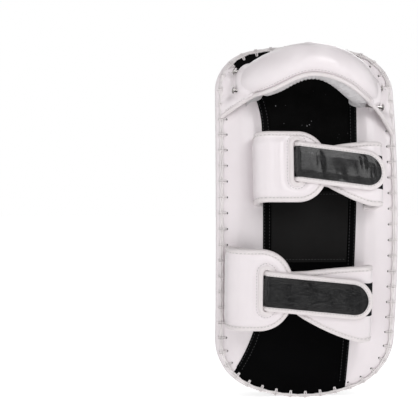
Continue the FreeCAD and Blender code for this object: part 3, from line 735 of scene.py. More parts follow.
def inflate(piece, voxel, pressure, cap, pinned):
    """Swell a closed mesh with cloth under pressure; `pinned` tests which points (mm) stay put.

    No point goes further than `cap`: a move of length d becomes cap tanh(d / cap).
    """
    scene = bpy.context.scene
    remesh = piece.modifiers.new("Remesh", "REMESH")
    remesh.mode = "VOXEL"
    remesh.voxel_size = voxel * MM
    bake_modifiers(piece)
    before = vertex_places(piece)
    held = np.nonzero(pinned(before / MM))[0].tolist()
    group = piece.vertex_groups.new(name="Held")
    group.add(held, 1.0, "REPLACE")
    cloth = piece.modifiers.new("Cloth", "CLOTH")
    cloth.settings.quality = 5
    cloth.settings.mass = 0.3
    cloth.settings.tension_stiffness = 12.0
    cloth.settings.compression_stiffness = 12.0
    cloth.settings.bending_stiffness = 0.5
    cloth.settings.use_pressure = True
    cloth.settings.uniform_pressure_force = pressure
    cloth.settings.vertex_group_mass = "Held"
    cloth.settings.effector_weights.gravity = 0.0
    cloth.point_cache.frame_start = 1
    cloth.point_cache.frame_end = CLOTH_FRAMES
    for step in range(1, CLOTH_FRAMES + 1):
        scene.frame_set(step)
    bake_modifiers(piece)
    moved = vertex_places(piece) - before
    length = np.maximum(np.linalg.norm(moved, axis=1, keepdims=True), 1e-9)
    limit = cap * MM
    after = before + moved * limit * np.tanh(length / limit) / length
    piece.data.vertices.foreach_set("co", after.ravel())
    piece.data.update()
    scene.frame_set(1)
    piece.vertex_groups.clear()
    relax = piece.modifiers.new("Smooth", "SMOOTH")
    relax.factor = 0.5
    relax.iterations = 4
    smooth = piece.modifiers.new("Subdivision", "SUBSURF")
    smooth.levels = 1
    smooth.render_levels = 1
    bake_modifiers(piece)
    piece.data.polygons.foreach_set("use_smooth", [True] * len(piece.data.polygons))


def bake_modifiers(piece):
    """Replace a piece's mesh by what its modifiers make of it."""
    graph = bpy.context.evaluated_depsgraph_get()
    made = bpy.data.meshes.new_from_object(piece.evaluated_get(graph))
    materials = list(piece.data.materials)
    old = piece.data
    piece.modifiers.clear()
    piece.data = made
    bpy.data.meshes.remove(old)
    made.materials.clear()
    for material in materials:
        made.materials.append(material)


# ---- Pad body -----------------------------------------------------------------------------------
def strike_surface(crown, start_inset):
    """Closed cushion: side wall, quarter-round shoulder, a face that rises by `crown`, flat base.

    Along each line from the rim to the middle the face rises by crown (1 - (1 - t) squared), where
    t is the distance from the rim over FACE_REACH, at most 1.
    """
    rings = [rim_ring(FACE_SEAM, start_inset), rim_ring(FACE_SEAM + 3.0, start_inset)]
    for turn in np.linspace(0.0, 0.5 * math.pi, 9):
        inset = SHOULDER * (1 - math.cos(turn)) + start_inset
        rings.append(rim_ring(PAD_THICKNESS - SHOULDER + SHOULDER * math.sin(turn), inset))
    edge = rings[-1]
    x, z, right, up = rim(edge[:, 1], SHOULDER + start_inset)
    support = x * right + z * up
    for part in np.linspace(1.0, 0.0, 34)[1:]:
        far = np.clip((1 - part) * support / FACE_REACH, 0.0, 1.0)
        rise = crown * (1 - (1 - far) ** 2)
        rings.append(on_back(x * part, z * part, -PAD_THICKNESS - rise))
    base = rings[0]
    for part in (0.75, 0.5, 0.25, 0.0):
        rings.insert(0, on_back(base[:, 0] * part, base[:, 2] * part, -FACE_SEAM))
    return grid(np.stack(rings, axis=1), True, False)


def side_place(u, v, height):
    """Place points on the side wall: run along the rim, depth below the back, height out of it.

    Between two rim stations, and between the back's outline and the face's, places are blended.
    """
    stations = np.interp(np.mod(u, RIM_RUN[-1]), RIM_RUN, np.arange(len(RIM_RUN)))
    first = np.floor(stations).astype(int) % len(RIM_LEG)
    second = (first + 1) % len(RIM_LEG)
    part = stations - np.floor(stations)
    low = rim_ring(0.0, 0.0)
    deep = rim_ring(PAD_THICKNESS, 0.0)
    _, _, right, up = rim(BACK_RIM[:, 1], 0.0)
    share = v / PAD_THICKNESS
    x, z = (lerp(lerp(low[first, axis], deep[first, axis], share),
                 lerp(low[second, axis], deep[second, axis], share), part) for axis in (0, 2))
    outward_x = lerp(right[first], right[second], part)
    outward_z = lerp(up[first], up[second], part)
    return np.stack([x + outward_x * height, depth_y(z, v), z + outward_z * height], axis=-1)


def side_line(depth):
    """A line all round the side wall at one depth."""
    run = np.linspace(0.0, RIM_RUN[-1], 700, endpoint=False)
    return np.stack([run, np.full(len(run), depth)], axis=1)


# Section of the pale edge as (inset, depth); its bulge is fullest along the two sides.
PALE_SECTION = ((5.0, 0.9), (3.0, 0.1), (1.0, 0.1), (-1.0, 0.9), (-2.8, 2.6), (-4.0, 5.0), (-4.3, 7.4),
                (-3.6, 9.6), (-1.8, 11.0), (0.4, 11.4), (2.0, 11.0), (2.0, 3.0), (5.0, 1.9))


def build_body(materials, settings):
    """Strike cushion, dark gusset, round piping with its two stitch rows, and the pale edge band.

    The gusset bulges by GUSSET_BULGE times the sine of its share of the side wall.
    """
    crown = settings.crown / MM
    strike = make_piece("strike_cushion", strike_surface(crown, FACE_INSET),
                        materials["Strike leather"])
    inflate(strike, 5.0, 4.0, 2.6,
            lambda points: points[:, 1] < depth_y(points[:, 2], FACE_SEAM + 4.0))
    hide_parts("strike_face_cover", "strike_foam")

    rows = []
    for part in np.linspace(0.0, 1.0, 12):
        rows.append((-GUSSET_BULGE * math.sin(math.pi * part), lerp(GUSSET_START, FACE_SEAM, part)))
    rows.extend([(LEATHER, FACE_SEAM), (LEATHER, GUSSET_START)])
    gusset = make_piece("dark_gusset", rim_loft(rows), materials["Black leather"])
    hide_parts("side_gusset")

    turn = np.linspace(0.0, math.tau, 10, endpoint=False)
    bead = [(PIPING_INSET - PIPING_RADIUS * math.cos(t), PIPING_DEPTH + PIPING_RADIUS * math.sin(t))
            for t in turn]
    piping = make_piece("round_piping", rim_loft(bead), materials["Black leather"])
    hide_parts("face_piping")
    threads = [stitch_row(side_place, side_line(FACE_SEAM + shift), EDGE_PITCH, height, True)
               for shift, height in ((-4.2, -0.15), (4.4, 0.1))]
    make_piece("piping_stitches", join(threads), materials["Dark thread"])

    _, _, right, _ = rim(BACK_RIM[:, 1], 0.0)
    fullness = 0.45 + 0.55 * np.abs(right)
    rows = [(np.where(inset < 0, inset * fullness, inset), depth) for inset, depth in PALE_SECTION]
    edge = make_piece("pale_edge", rim_loft(rows), materials["White leather"])
    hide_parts("seam_edge_band")


# ---- Back panels --------------------------------------------------------------------------------
def side_panel(side, rise):
    """One white side panel: a thin padded form, crowned between the rim and the border seam.

    Its height is `rise` times a smooth step over 18 from the rim and one over 12 from the border,
    with a shallow sine wave along the pad.
    """
    z = np.linspace(-HALF_LENGTH, HALF_LENGTH, 2400)
    inner = np.abs(left_border(z) if side < 0 else right_border(z))
    width = rim_x(z) - inner
    inside = z[(width > 0.4) & (np.abs(z) < HALF_LENGTH - 1)]
    low, high = inside.min(), inside.max()
    row = lerp(low, high, 0.5 - 0.5 * np.cos(np.linspace(0.0, math.pi, 150)))
    part = np.linspace(0.0, 1.0, 30)
    rows, parts = np.meshgrid(row, part, indexing="ij")
    border = left_border(rows) if side < 0 else right_border(rows)
    x = lerp(side * (rim_x(rows) - 0.8), border, parts)
    edge = border_line(side, 0.0, -1.0)
    from_rim = polyline_distance(x, rows, RIM_LINE)
    from_border = polyline_distance(x, rows, edge)
    height = rise * ease((from_rim - 6.0) / 18.0) * ease((from_border + 1.0) / 12.0)
    height += (PANEL_WAVE * np.sin(rows * 0.11 + 2.0 * side) * ease((from_rim - 8.0) / 14.0)
               * ease(from_border / 10.0))
    return slab(on_back(x, rows, height + PANEL_LIFT), on_back(x, rows, -LEATHER))


def rim_meeting(side, margin, end):
    """Height at which each line along the centre panel meets the rim, found by halving."""
    def within(z):
        """Whether the line is still inside the rim at height z."""
        x = lerp(left_border(z) + margin, right_border(z) - margin, side)
        return np.abs(x) < rim_x(z + 0.8 * end) - 0.6

    return halve(np.zeros(side.shape), np.full(side.shape, end * HALF_LENGTH), within, 24)


def centre_part(z_from, z_to, height, margin):
    """Part of the centre panel between its borders and two heights; None stands for the rim."""
    across = np.linspace(0.0, 1.0, 34)
    part = np.linspace(0.0, 1.0, 60)
    up, side = np.meshgrid(part, across, indexing="ij")
    low = rim_meeting(side, margin, -1.0) if z_from is None else z_from
    high = rim_meeting(side, margin, 1.0) if z_to is None else z_to
    z = lerp(low, high, up)
    x = lerp(left_border(z) + margin, right_border(z) - margin, side)
    return slab(on_back(x, z, height), on_back(x, z, height - LEATHER))


def flat_section(half, height):
    """Section of a flat strip with soft edges: across and out."""
    rounding = ((0.0, -0.6), (0.0, 0.45 * height), (0.5, 0.85 * height), (1.2, height))
    return ([(-half + inset, out) for inset, out in rounding]
            + [(half - inset, out) for inset, out in rounding[::-1]])


def build_back(materials, settings):
    """White side panels, suede and smooth centre panels, the stitched patch and the edge strips."""
    rise = settings.rise / MM
    for side, name in ((-1, "left"), (1, "right")):
        panel = make_piece("side_panel_" + name, side_panel(side, rise), materials["White leather"])
        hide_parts("back_panel_" + name)
    suede = make_piece("suede_panel", centre_part(SUEDE_END, None, CENTRE_LIFT, 0.0),
                       materials["Suede"])
    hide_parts("centre_panel_upper")
    lower = make_piece("smooth_panel", centre_part(None, SUEDE_END, CENTRE_LIFT, 0.0),
                       materials["Black leather"])
    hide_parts("centre_panel_lower")
    sheet = centre_part(PATCH_BOTTOM, SUEDE_END, PATCH_LIFT, STRIP_WIDTH + 0.5)
    patch = make_piece("stitched_patch", sheet, materials["Patch leather"])
    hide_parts("centre_patch")
    threads = []
    for height in (PATCH_BOTTOM + 3.0, SUEDE_END - 3.0):
        x = np.linspace(left_border(height) + STRIP_WIDTH + 2,
                        right_border(height) - STRIP_WIDTH - 2, 60)
        row = np.stack([x, np.full(len(x), height)], axis=1)
        threads.append(stitch_row(on_back, row, BACK_PITCH, PATCH_LIFT + 0.05))
    for side, name in ((-1, "left"), (1, "right")):
        middle = border_line(side, -side * STRIP_WIDTH / 2, 9.5)
        band = ribbon(on_back, middle, flat_section(STRIP_WIDTH / 2, STRIP_HEIGHT))
        strip = make_piece("edge_strip_" + name, band, materials["Black leather"])
        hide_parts("panel_edge_strip_" + name)
        for inward in (STRIP_WIDTH - 1.6, 1.6):
            row = border_line(side, -side * inward, 10.5)
            threads.append(stitch_row(on_back, row, BACK_PITCH, STRIP_HEIGHT))
    make_piece("back_stitches", join(threads), materials["Dark thread"])


# ---- Lacing -------------------------------------------------------------------------------------
def rim_at(spots, depth, inset):
    """Points on a rim ring at runs along the rim."""
    ring = rim_ring(depth, inset)
    ring = np.concatenate([ring, ring[:1]])
    return np.stack([np.interp(spots, RIM_RUN, ring[:, axis]) for axis in range(3)], axis=1)


# Way of a lock stitch over the cord, from its hole round the rim, as (inset, depth).
LOCK_PATH = ((7.2, 0.3), (6.9, -0.6), (5.4, -1.0), (3.7, -1.9), (1.9, -3.1), (-0.4, -2.2), (-1.1, 0.2),
             (-1.0, 2.8), (-0.4, 5.0), (0.8, 5.8))


def build_lacing(materials, settings):
    """Doubled cord on the rim, a lock stitch over it at even steps, and a dark disc of painted shade at
    the hole each leaves by.

    The two strands are pinched together where a stitch holds them, by the eighth power of a cosine
    that has one turn for each pair of stitches, and rise and fall by a sine between them.
    """
    radius = settings.strand / MM / 2
    spots = (np.arange(STITCH_COUNT) + 0.5) * RIM_RUN[-1] / STITCH_COUNT
    phase = RIM_RUN[:-1] / RIM_RUN[-1] * STITCH_COUNT
    pinch = 1.0 - CORD_PINCH * np.abs(np.cos(math.pi * phase)) ** 8
    lift = CORD_WAVE * np.sin(math.tau * phase + 0.7)
    strands = []
    for side in (-1, 1):
        ring = rim_ring(CORD_DEPTH + side * lift * 0.5, CORD_INSET + side * CORD_SPREAD * pinch)
        strands.append(tube(ring, radius, 8, True))
    cord = make_piece("rim_cord", join(strands), materials["Lace"])
    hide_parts("edge_lacing")
    loops = []
    for shift in (-LOCK_SPREAD, LOCK_SPREAD):
        rows = np.stack([rim_at(spots + shift * (0.6 + 0.8 * math.sin(k * 0.45)), depth, inset)
                         for k, (inset, depth) in enumerate(LOCK_PATH)], axis=1)
        for path in rows:
            loops.append(tube(resample(path, LOCK_STEP), radius * LOCK_THICKNESS, 6))
    stitches = make_piece("lock_stitches", join(loops), materials["Lace"])
    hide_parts("lacing_stitches")
    # Painted shade: a small dark disc of lining sits on the back at each hole, in place of the shade
    # inside it.
    centres = rim_at(spots, -0.2, HOLE_INSET)
    angle = np.linspace(0.0, math.tau, 10, endpoint=False)
    rings = []
    for size, height in ((1.25, 0.1), (1.1, 0.4), (0.3, 0.4)):
        x = centres[:, None, 0] + size * np.cos(angle)
        z = centres[:, None, 2] + size * np.sin(angle)
        rings.append(on_back(x, z, height))
    points = np.stack(rings, axis=1).reshape(len(centres), -1, 3)
    hole_shade = repeat_part(points, capsule_faces(len(rings), len(angle)))
    make_piece("lace_hole_shade", hole_shade, materials["Lining"])


# ---- Hand guard ---------------------------------------------------------------------------------
def guard_frame(points):
    """Carry the arch's own frame (X foot to foot, Y to its top, Z down the pad) to the pad.

    It is turned about X by the lean, then about Y by the tilt, and set at its station on the back.
    """
    lean = math.radians(180.0 - GUARD_LEAN)
    tilt = math.radians(GUARD_TILT)
    x, y, z = points[..., 0], points[..., 1], points[..., 2]
    leaned_y = y * math.cos(lean) - z * math.sin(lean)
    leaned_z = y * math.sin(lean) + z * math.cos(lean)
    turned_x = x * math.cos(tilt) + leaned_z * math.sin(tilt)
    turned_z = leaned_z * math.cos(tilt) - x * math.sin(tilt)
    base = depth_y(GUARD_STATION, 0.0)
    return np.stack([turned_x, base + leaned_y, GUARD_STATION + turned_z], axis=-1)


def roll_point(theta, phi, grow, flare):
    """A point on the roll: angle round the arch, angle round its squarish oval section, growth.

    The section is a superellipse: each half size times the cosine or sine to ROLL_POWER. The side
    towards the elbow bulges by `flare` times the squared sine of twice the arch angle, which is
    fullest at the two shoulders, less on the +X side a share that grows as the fourth power of the
    cosine. Near each foot a smooth step tucks it in. The -X shoulder sags a little under the half
    circle, and the feet run into a soft wall.
    """
    foot = np.abs(np.cos(theta))
    plus_side = np.cos(theta) > 0.0
    shoulder = np.sin(2.0 * theta) ** 2
    down = np.sin(phi) > 0.0
    bulge = flare * (0.95 * shoulder - 0.05)
    bulge = bulge - np.where(plus_side, 0.55 * flare * np.cos(theta) ** 4, 0.0)
    start = np.where(plus_side, 0.37, 0.45)
    tuck = ease((foot - 0.86) / 0.14) * ease((phi / math.pi - start) / 0.15)
    bulge = bulge - ROLL_FOOT_TUCK * tuck
    half_width = ROLL_WIDTH / 2 - 1.0 + np.where(down, bulge, 0.0)
    radial = np.sign(np.cos(phi)) * np.abs(np.cos(phi)) ** ROLL_POWER * (ROLL_THICKNESS / 2 + grow)
    axial = np.sign(np.sin(phi)) * np.abs(np.sin(phi)) ** ROLL_POWER * (half_width + grow)
    sag = 4.0 * shoulder * np.where(np.cos(theta) < 0.0, 1.0, 0.35)
    radius = GUARD_RADIUS - sag + radial
    x = radius * np.cos(theta)
    y = radius * np.sin(theta)
    limit = GUARD_WALL + grow
    over = np.maximum(np.abs(x) - (limit - WALL_EASE), 0.0)
    x = np.sign(x) * (np.abs(x) - over + WALL_EASE * (1.0 - np.exp(-over / WALL_EASE)))
    return guard_frame(np.stack([x, y, axial], axis=-1))


def foot_angles(phi, grow, flare, height):
    """Where each line along the roll meets the back, found by halving, at the +X and the -X foot."""
    def above(theta):
        """Whether the roll at an arch angle is still above the back."""
        point = roll_point(theta, phi, grow, flare)
        return BACK_RADIUS + height < np.hypot(point[..., 1] - BACK_RADIUS, point[..., 2])

    top = np.full(phi.shape, math.pi / 2)
    return [halve(top, np.full(phi.shape, outside), above, 26) for outside in (-0.5, math.pi + 0.5)]


def roll_sheet(phi, grow, flare, height, count):
    """Lattice of roll points: along the arch by round the section."""
    right, left = foot_angles(phi, grow, flare, height)
    part = np.linspace(0.0, 1.0, count)[:, None]
    theta = lerp(right[None, :], left[None, :], part)
    return theta, np.broadcast_to(phi[None, :], theta.shape)


def capped(points):
    """A tube lattice (closed across) shut with a fan at each end."""
    first = np.broadcast_to(points[0].mean(axis=0), points[0].shape)
    last = np.broadcast_to(points[-1].mean(axis=0), points[-1].shape)
    return grid(np.concatenate([first[None], points, last[None]]), False, True)


def edge_phi(theta):
    """Angle round the roll's section of its bound lower edge, higher up at the +X shoulder."""
    shoulder = ease(np.cos(theta) * 1.6) * ease((1.0 - np.abs(np.cos(theta))) / 0.12)
    return math.pi * (0.50 - 0.09 * shoulder)


def build_guard(materials, settings):
    """The arched roll with its binding, pleated lining, laced wings and the stitches along them."""
    flare = settings.flare / MM
    phi = np.linspace(0.0, math.tau, 44, endpoint=False)
    theta, around = roll_sheet(phi, 0.0, flare, 1.0, 90)
    # Shallow dents round the outside of the roll.
    dent = 0.35 * np.sin(theta * 31.0 + 2.0 * np.sin(around)) * np.clip(-np.cos(around), 0.0, 1.0)
    cushion = capped(roll_point(theta, around, -0.8 + dent, flare))
    roll = make_piece("guard_roll", cushion, materials["White leather"])
    inflate(roll, 4.0, 4.0, 1.6, lambda points: np.hypot(points[:, 1] - BACK_RADIUS, points[:, 2])
            < BACK_RADIUS + 5.0)
    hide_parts("guard_roll_cover", "guard_roll_foam", "guard_webbing", "rivet_washers")

    inner = np.linspace(math.pi * 0.5, math.pi * 1.44, 30)
    theta, around = roll_sheet(inner, WING_GROW, flare, 1.5, 440)
    part = (inner - inner[0]) / (inner[-1] - inner[0])
    around = around + (edge_phi(theta) - math.pi / 2) * (1.0 - part)
    # Pleats run across the lining: a folded sine wave that fades in from the bound edge.
    pleat = 0.9 * np.abs(np.sin(theta * 40.0 + 0.6 * np.sin(theta * 7.0))) ** 0.7 * ease(part * 12.0)
    top = roll_point(theta, around, 0.9 + pleat, flare)
    bottom = roll_point(theta, around, -0.6, flare)
    lining = make_piece("pleated_lining", slab(top, bottom), materials["Pleats"])
    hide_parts("guard_lining")

    wings = {}
    for side, name in ((-1, "left"), (1, "right")):
        wings[side] = guard_wing(side, flare)
        piece = make_piece("guard_wing_" + name, slab(wings[side]["outside"], wings[side]["inside"]),
                           materials["White leather"])
        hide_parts("guard_flap_" + name)
    # One binding, from the rim along the +X wing, over the roll's edge and down the -X wing.
    start = wings[1]["leave"]
    stop = wings[-1]["leave"]
    run = np.linspace(start, stop, 200)
    over = roll_point(run, edge_phi(run), 0.9, flare)
    path = np.concatenate([wings[1]["edge"][::-1], over[1:-1], wings[-1]["edge"]])
    path = resample(path, 1.2)
    for _ in range(4):
        path[1:-1] = (path[:-2] + path[1:-1] * 2.0 + path[2:]) / 4.0
    crinkle = 0.10 * np.sin(np.arange(len(path)) * 1.9) + 0.06 * np.sin(np.arange(len(path)) * 0.83)
    binding = make_piece("guard_binding_strip", tube(path, GUARD_BINDING_RADIUS + crinkle, 12),
                         materials["Binding leather"])
    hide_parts("guard_binding")

    def on_roll(u, v, height):
        """Place points on the roll: run round the arch, distance up from the bound edge, height."""
        theta = u / GUARD_RADIUS
        return roll_point(theta, edge_phi(theta) - v / (ROLL_WIDTH / 2), height, flare)

    run = np.linspace(start, stop, 300) * GUARD_RADIUS
    row = np.stack([run, np.full(len(run), GUARD_STITCH_GAP)], axis=1)
    threads = [stitch_row(on_roll, row, FINE_PITCH, 0.95)]
    for side in (-1, 1):
        threads.extend(wings[side]["seams"])
    make_piece("guard_stitches", join(threads), materials["Thread"])


def guard_wing(side, flare):
    """A leather wing: it clings to the roll's end, leaves it in a soft bend and runs out to the rim.

    Each column is a line down the roll from its upper end to its leaving point, then a quadratic
    curve (leaving point, a point further along the roll's own direction, rim point). Returns its
    two lattices, the angle at which its lower edge leaves the roll, that edge and its stitches.
    """
    phi = np.linspace(-0.36 * math.pi, 0.5 * math.pi, 48)
    part = (phi - phi[0]) / (phi[-1] - phi[0])
    right, left = foot_angles(phi, WING_GROW, flare, 2.0)
    foot = right if side > 0 else left
    # Towards its lower edge the wing leaves the roll further up and bends out more.
    turn = ease((part - 0.50) / 0.50)
    leave = foot + side * lerp(0.07, 0.34, turn)
    top = foot + side * lerp(0.36, 0.48, turn)
    around = np.where(part > 0.999, edge_phi(leave), phi)
    up = np.linspace(0.0, 1.0, 14)[:, None]
    theta = lerp(top, leave, up)
    tuck = lerp(-1.8, 1.6, ease(up * 2.2))
    cling = roll_point(theta, around, tuck, flare)
    under = roll_point(theta, around, -2.2, flare)
    low_z, high_z = WING_RIM[side]
    rim_line_z = lerp(high_z, low_z, part)
    rim_line = on_back(side * (rim_x(rim_line_z) - 1.0), rim_line_z, 1.7)
    along = cling[-1] - cling[-2]
    along = along / np.linalg.norm(along, axis=1, keepdims=True)
    middle = cling[-1] + along * lerp(4.5, 9.0, turn)[:, None]
    middle[:, 0] += side * 7.0 * turn * (1.0 if side > 0 else 0.3)
    share = np.linspace(0.0, 1.0, 28)[1:, None, None]
    reach = (1 - share) ** 2 * cling[-1] + 2 * share * (1 - share) * middle + share ** 2 * rim_line
    # Soft folds, deepest midway between the roll and the rim.
    fold = 0.6 * np.sin(phi * 3.0 + side)[None, :] * np.sin(share[..., 0] * math.pi)
    reach = reach + fold[..., None] * np.array([0.0, 1.0, 0.0])
    outside = keep_above_back(np.concatenate([cling, reach]), 2.1)
    inside = keep_above_back(np.concatenate([under, reach + np.array([0.0, 1.6, 0.0])]), 0.5)
    seams = [thread_along(outside[16:-3, -5], FINE_PITCH), thread_along(outside[17:-3, 3], 3.3)]
    if side > 0:
        seams.append(thread_along(outside[16, 4:-6], 3.3))
    return {"outside": outside, "inside": inside, "leave": float(leave[-1]),
            "edge": outside[13:, -1] + np.array([0.0, 0.2, 0.0]), "seams": seams}


def thread_along(path, pitch):
    """Thread stitches along a 3-D path that lies on a surface seen from -Y."""
    spots = resample(path, pitch)
    pieces = []
    for first, second in zip(spots, spots[1:]):
        gap = (second - first) * 0.17
        middle = (first + second) / 2 + np.array([0.0, -0.3, 0.0])
        line = np.stack([first + gap, middle, second - gap])
        pieces.append(tube(line, np.array([0.5, 1.0, 0.5]) * THREAD_RADIUS, 5))
    return join(pieces)


def keep_above_back(points, height):
    """Lift points that lie under the back's leather up to a height above it."""
    y = points[..., 1] - BACK_RADIUS
    z = points[..., 2]
    radius = np.hypot(y, z)
    scale = np.maximum(radius, BACK_RADIUS + height) / radius
    return np.stack([points[..., 0], BACK_RADIUS + y * scale, z * scale], axis=-1)


# ---- Straps -------------------------------------------------------------------------------------
def rounded_path(points, radii, step=0.8):
    """Dense (x, height) points of straight runs joined by tangent bends.

    A bend of radius r that turns by t starts r tan(t / 2) before the corner of its two runs.
    """
    points = [np.array(point, float) for point in points]
    made = [points[0]]
    for number, radius in enumerate(radii, start=1):
        before = points[number] - points[number - 1]
        after = points[number + 1] - points[number]
        before = before / np.linalg.norm(before)
        after = after / np.linalg.norm(after)
        turn = math.acos(np.clip(np.dot(before, after), -1.0, 1.0))
        setback = radius * math.tan(turn / 2)
        start = points[number] - before * setback
        inward = (after - before) / np.linalg.norm(after - before)
        centre = points[number] + inward * radius / math.cos(turn / 2)
        hand = np.sign(before[0] * after[1] - before[1] * after[0])
        first = start - centre
        for angle in np.linspace(0.0, hand * turn, 12):
            cosine = math.cos(angle)
            sine = math.sin(angle)
            made.append(centre + np.array([first[0] * cosine - first[1] * sine,
                                           first[0] * sine + first[1] * cosine]))
    made.append(points[-1])
    return resample(np.array(made), step)


def strap_place(path, station, sink=0.0, slide=((0.0, 1.0), (0.0, 0.0))):
    """A function that places (run, across, out) of a strap's sheet in the pad's frame.

    The path gives x and the height over the back; beyond its ends it goes on straight. The whole is
    turned about the back's own centre line to its station. `sink` shifts the sheet towards the
    elbow by the share that `slide` gives over its run.
    """
    run = run_along(path)
    along = directions(path)
    theta = -math.asin(station / BACK_RADIUS)

    def place(u, v, height):
        """Place points: run along the strap, across it, and height out of its sheet."""
        v = v - sink * np.interp(u, *slide)
        x = np.interp(u, run, path[:, 0]) - height * np.interp(u, run, along[:, 1])
        h = np.interp(u, run, path[:, 1]) + height * np.interp(u, run, along[:, 0])
        beyond = np.maximum(u - run[-1], 0.0) + np.minimum(u, 0.0)
        x = x + beyond * np.where(u > 0, along[-1, 0], along[0, 0])
        h = h + beyond * np.where(u > 0, along[-1, 1], along[0, 1])
        y = -h - BACK_RADIUS
        turned_y = BACK_RADIUS + y * math.cos(theta) - v * math.sin(theta)
        turned_z = y * math.sin(theta) + v * math.cos(theta)
        return np.stack([x, turned_y, turned_z], axis=-1)

    place.length = run[-1]
    place.run_at = lambda x, after: run[np.nonzero((path[:, 0] >= x) & (run >= after))[0][0]]
    place.x_at = lambda u: np.interp(u, run, path[:, 0])
    return place


def pattern_sheet(place, runs, low, high, count, top, bottom, puff=0.0, creases=()):
    """A slab over a flat pattern whose across limits vary along it, plumper away from its edges.

    It rises by `puff` times a smooth step from its sides and one from its end. Each crease takes
    its depth times exp(-a squared - b squared), with a and b the shares of its half sizes.
    """
    part = np.linspace(0.0, 1.0, count)
    u = np.broadcast_to(runs[:, None], (len(runs), count))
    v = lerp(low[:, None], high[:, None], part[None, :])
    from_side = np.minimum(v - low[:, None], high[:, None] - v)
    from_end = np.minimum(u - runs[0] + 40.0, runs[-1] - u)
    rise = puff * ease(from_side / 9.0) * ease(from_end / 9.0)
    for run, share, long, wide, depth in creases:
        along = (u - run) / long
        across = (v - lerp(low[:, None], high[:, None], share)) / wide
        slant = along + 0.35 * across
        rise = rise - depth * np.exp(-slant ** 2 - across ** 2) * ease(from_side / 5.0)
    return slab(place(u, v, top + rise), place(u, v, np.full(u.shape, bottom)))


def binding_section(width, thickness):
    """Section of a folded edge binding as (how far in from the edge, out of the sheet)."""
    half = thickness / 2 + LIP
    return [(width, half - 0.7), (width - 0.9, half), (width * 0.5, half + 0.25),
            (width * 0.18, half - 0.2), (0.0, half * 0.45), (-0.15, 0.0), (0.0, -half * 0.45),
            (width * 0.18, -half + 0.2), (width * 0.5, -half), (width - 0.9, -half),
            (width, -half + 0.7)]


def left_limits(strap, x, inset):
    """Half width of a left cuff at x, in from its edge by inset."""
    half = strap["left_width"] / 2 - inset
    end = strap["left_end"] - inset
    corner = strap["left_corner"] - inset
    beyond = np.clip(x - (end - corner), 0.0, corner)
    return half - corner + np.sqrt(corner ** 2 - beyond ** 2)


def slot_loop(strap, place, grow):
    """The slot's round-ended outline on the cuff's sheet, as (run, across)."""
    radius = SLOT_HALF + grow
    centre = place.run_at(strap["slot"], place.top_start)
    turn = np.linspace(0.0, math.pi, 15)
    high = np.stack([radius * np.cos(turn), SLOT_REACH + radius * np.sin(turn)], axis=1)
    loop = np.concatenate([high, -high]) + (centre, strap["slot_rise"])
    return resample(loop, 1.2, True)


def left_place(strap):
    """Sheet of a left cuff: from its root on the back, round its fold and over to its free end."""
    fold = strap["left_fold"] + CUFF / 2
    root_height = -2.0 if strap["left_foot"] > 0.5 else 0.5
    points = [(LEFT_BORDER - strap["left_seam"], root_height), (fold, strap["left_foot"]),
              (fold, STACK_LEFT), (strap["left_end"], STACK_LEFT)]
    path = rounded_path(points, [0.9 * strap["left_bend"], strap["left_bend"]])
    top_start = float(run_along(path)[np.argmin(path[:, 0])])
    slide = ((0.0, top_start), (1.0, 0.0))
    place = strap_place(path, strap["station"], strap["left_sink"], slide)
    place.top_start = top_start
    return place


def right_place(strap):
    """Sheet of a right cuff: up in its slot, under the left cuff, over its fold, to the back."""
    fold = strap["right_fold"] - CUFF / 2
    root = float(right_border(strap["station"])) + strap["right_seam"]
    ramp = strap["left_end"] + 4.0
    points = [(strap["slot"], LEFT_TOP + 0.5), (strap["slot"], STACK_NECK), (ramp, STACK_NECK),
              (ramp + 12.0, STACK_RIGHT), (fold, STACK_RIGHT), (fold, 0.5), (root, 0.5)]
    foot_bend = min(strap["right_bend"], fold - root - 0.5)
    path = rounded_path(points, [4.0, 12.0, 12.0, strap["right_bend"], foot_bend])
    run = run_along(path)
    slide = ((float(run[np.argmax(path[:, 0])]), float(run[-1])), (0.0, 1.0))
    return strap_place(path, strap["station"], strap["right_sink"], slide)


def tongue_line(strap, x):
    """How far across the strap the tongue's middle lies at x: a straight line that falls."""
    return strap["slot_rise"] - (x - strap["slot"]) * math.tan(math.radians(strap["fall"]))


def right_limits(strap, place, runs, inset):
    """Lower and upper across limits of a right cuff along its sheet.

    The neck is as wide as the tongue up to the waist. From there to the full width the limits go by
    t + 0.48 t (1 - t), with t the share of the way.
    """
    full_x = strap["right_fold"] - strap["right_bend"] - 4.0
    fold_run = place.run_at(full_x, 0.0)
    x = np.where(runs < fold_run, place.x_at(runs), full_x)
    waist = strap["left_end"] + 2.0
    part = np.clip((x - waist) / (full_x - waist), 0.0, 1.0)
    limits = []
    for up in (-1, 1):
        neck = tongue_line(strap, np.minimum(x, waist)) + up * (TONGUE_WIDTH / 2 - inset)
        waist_z = tongue_line(strap, waist) + up * (TONGUE_WIDTH / 2 - inset)
        full_z = up * (strap["right_width"] / 2 - inset) - strap["right_drop"]
        swell = part + 0.48 * part * (1 - part)
        limits.append(np.where(x < waist, neck, lerp(waist_z, full_z, swell)))
    return limits[0], limits[1]


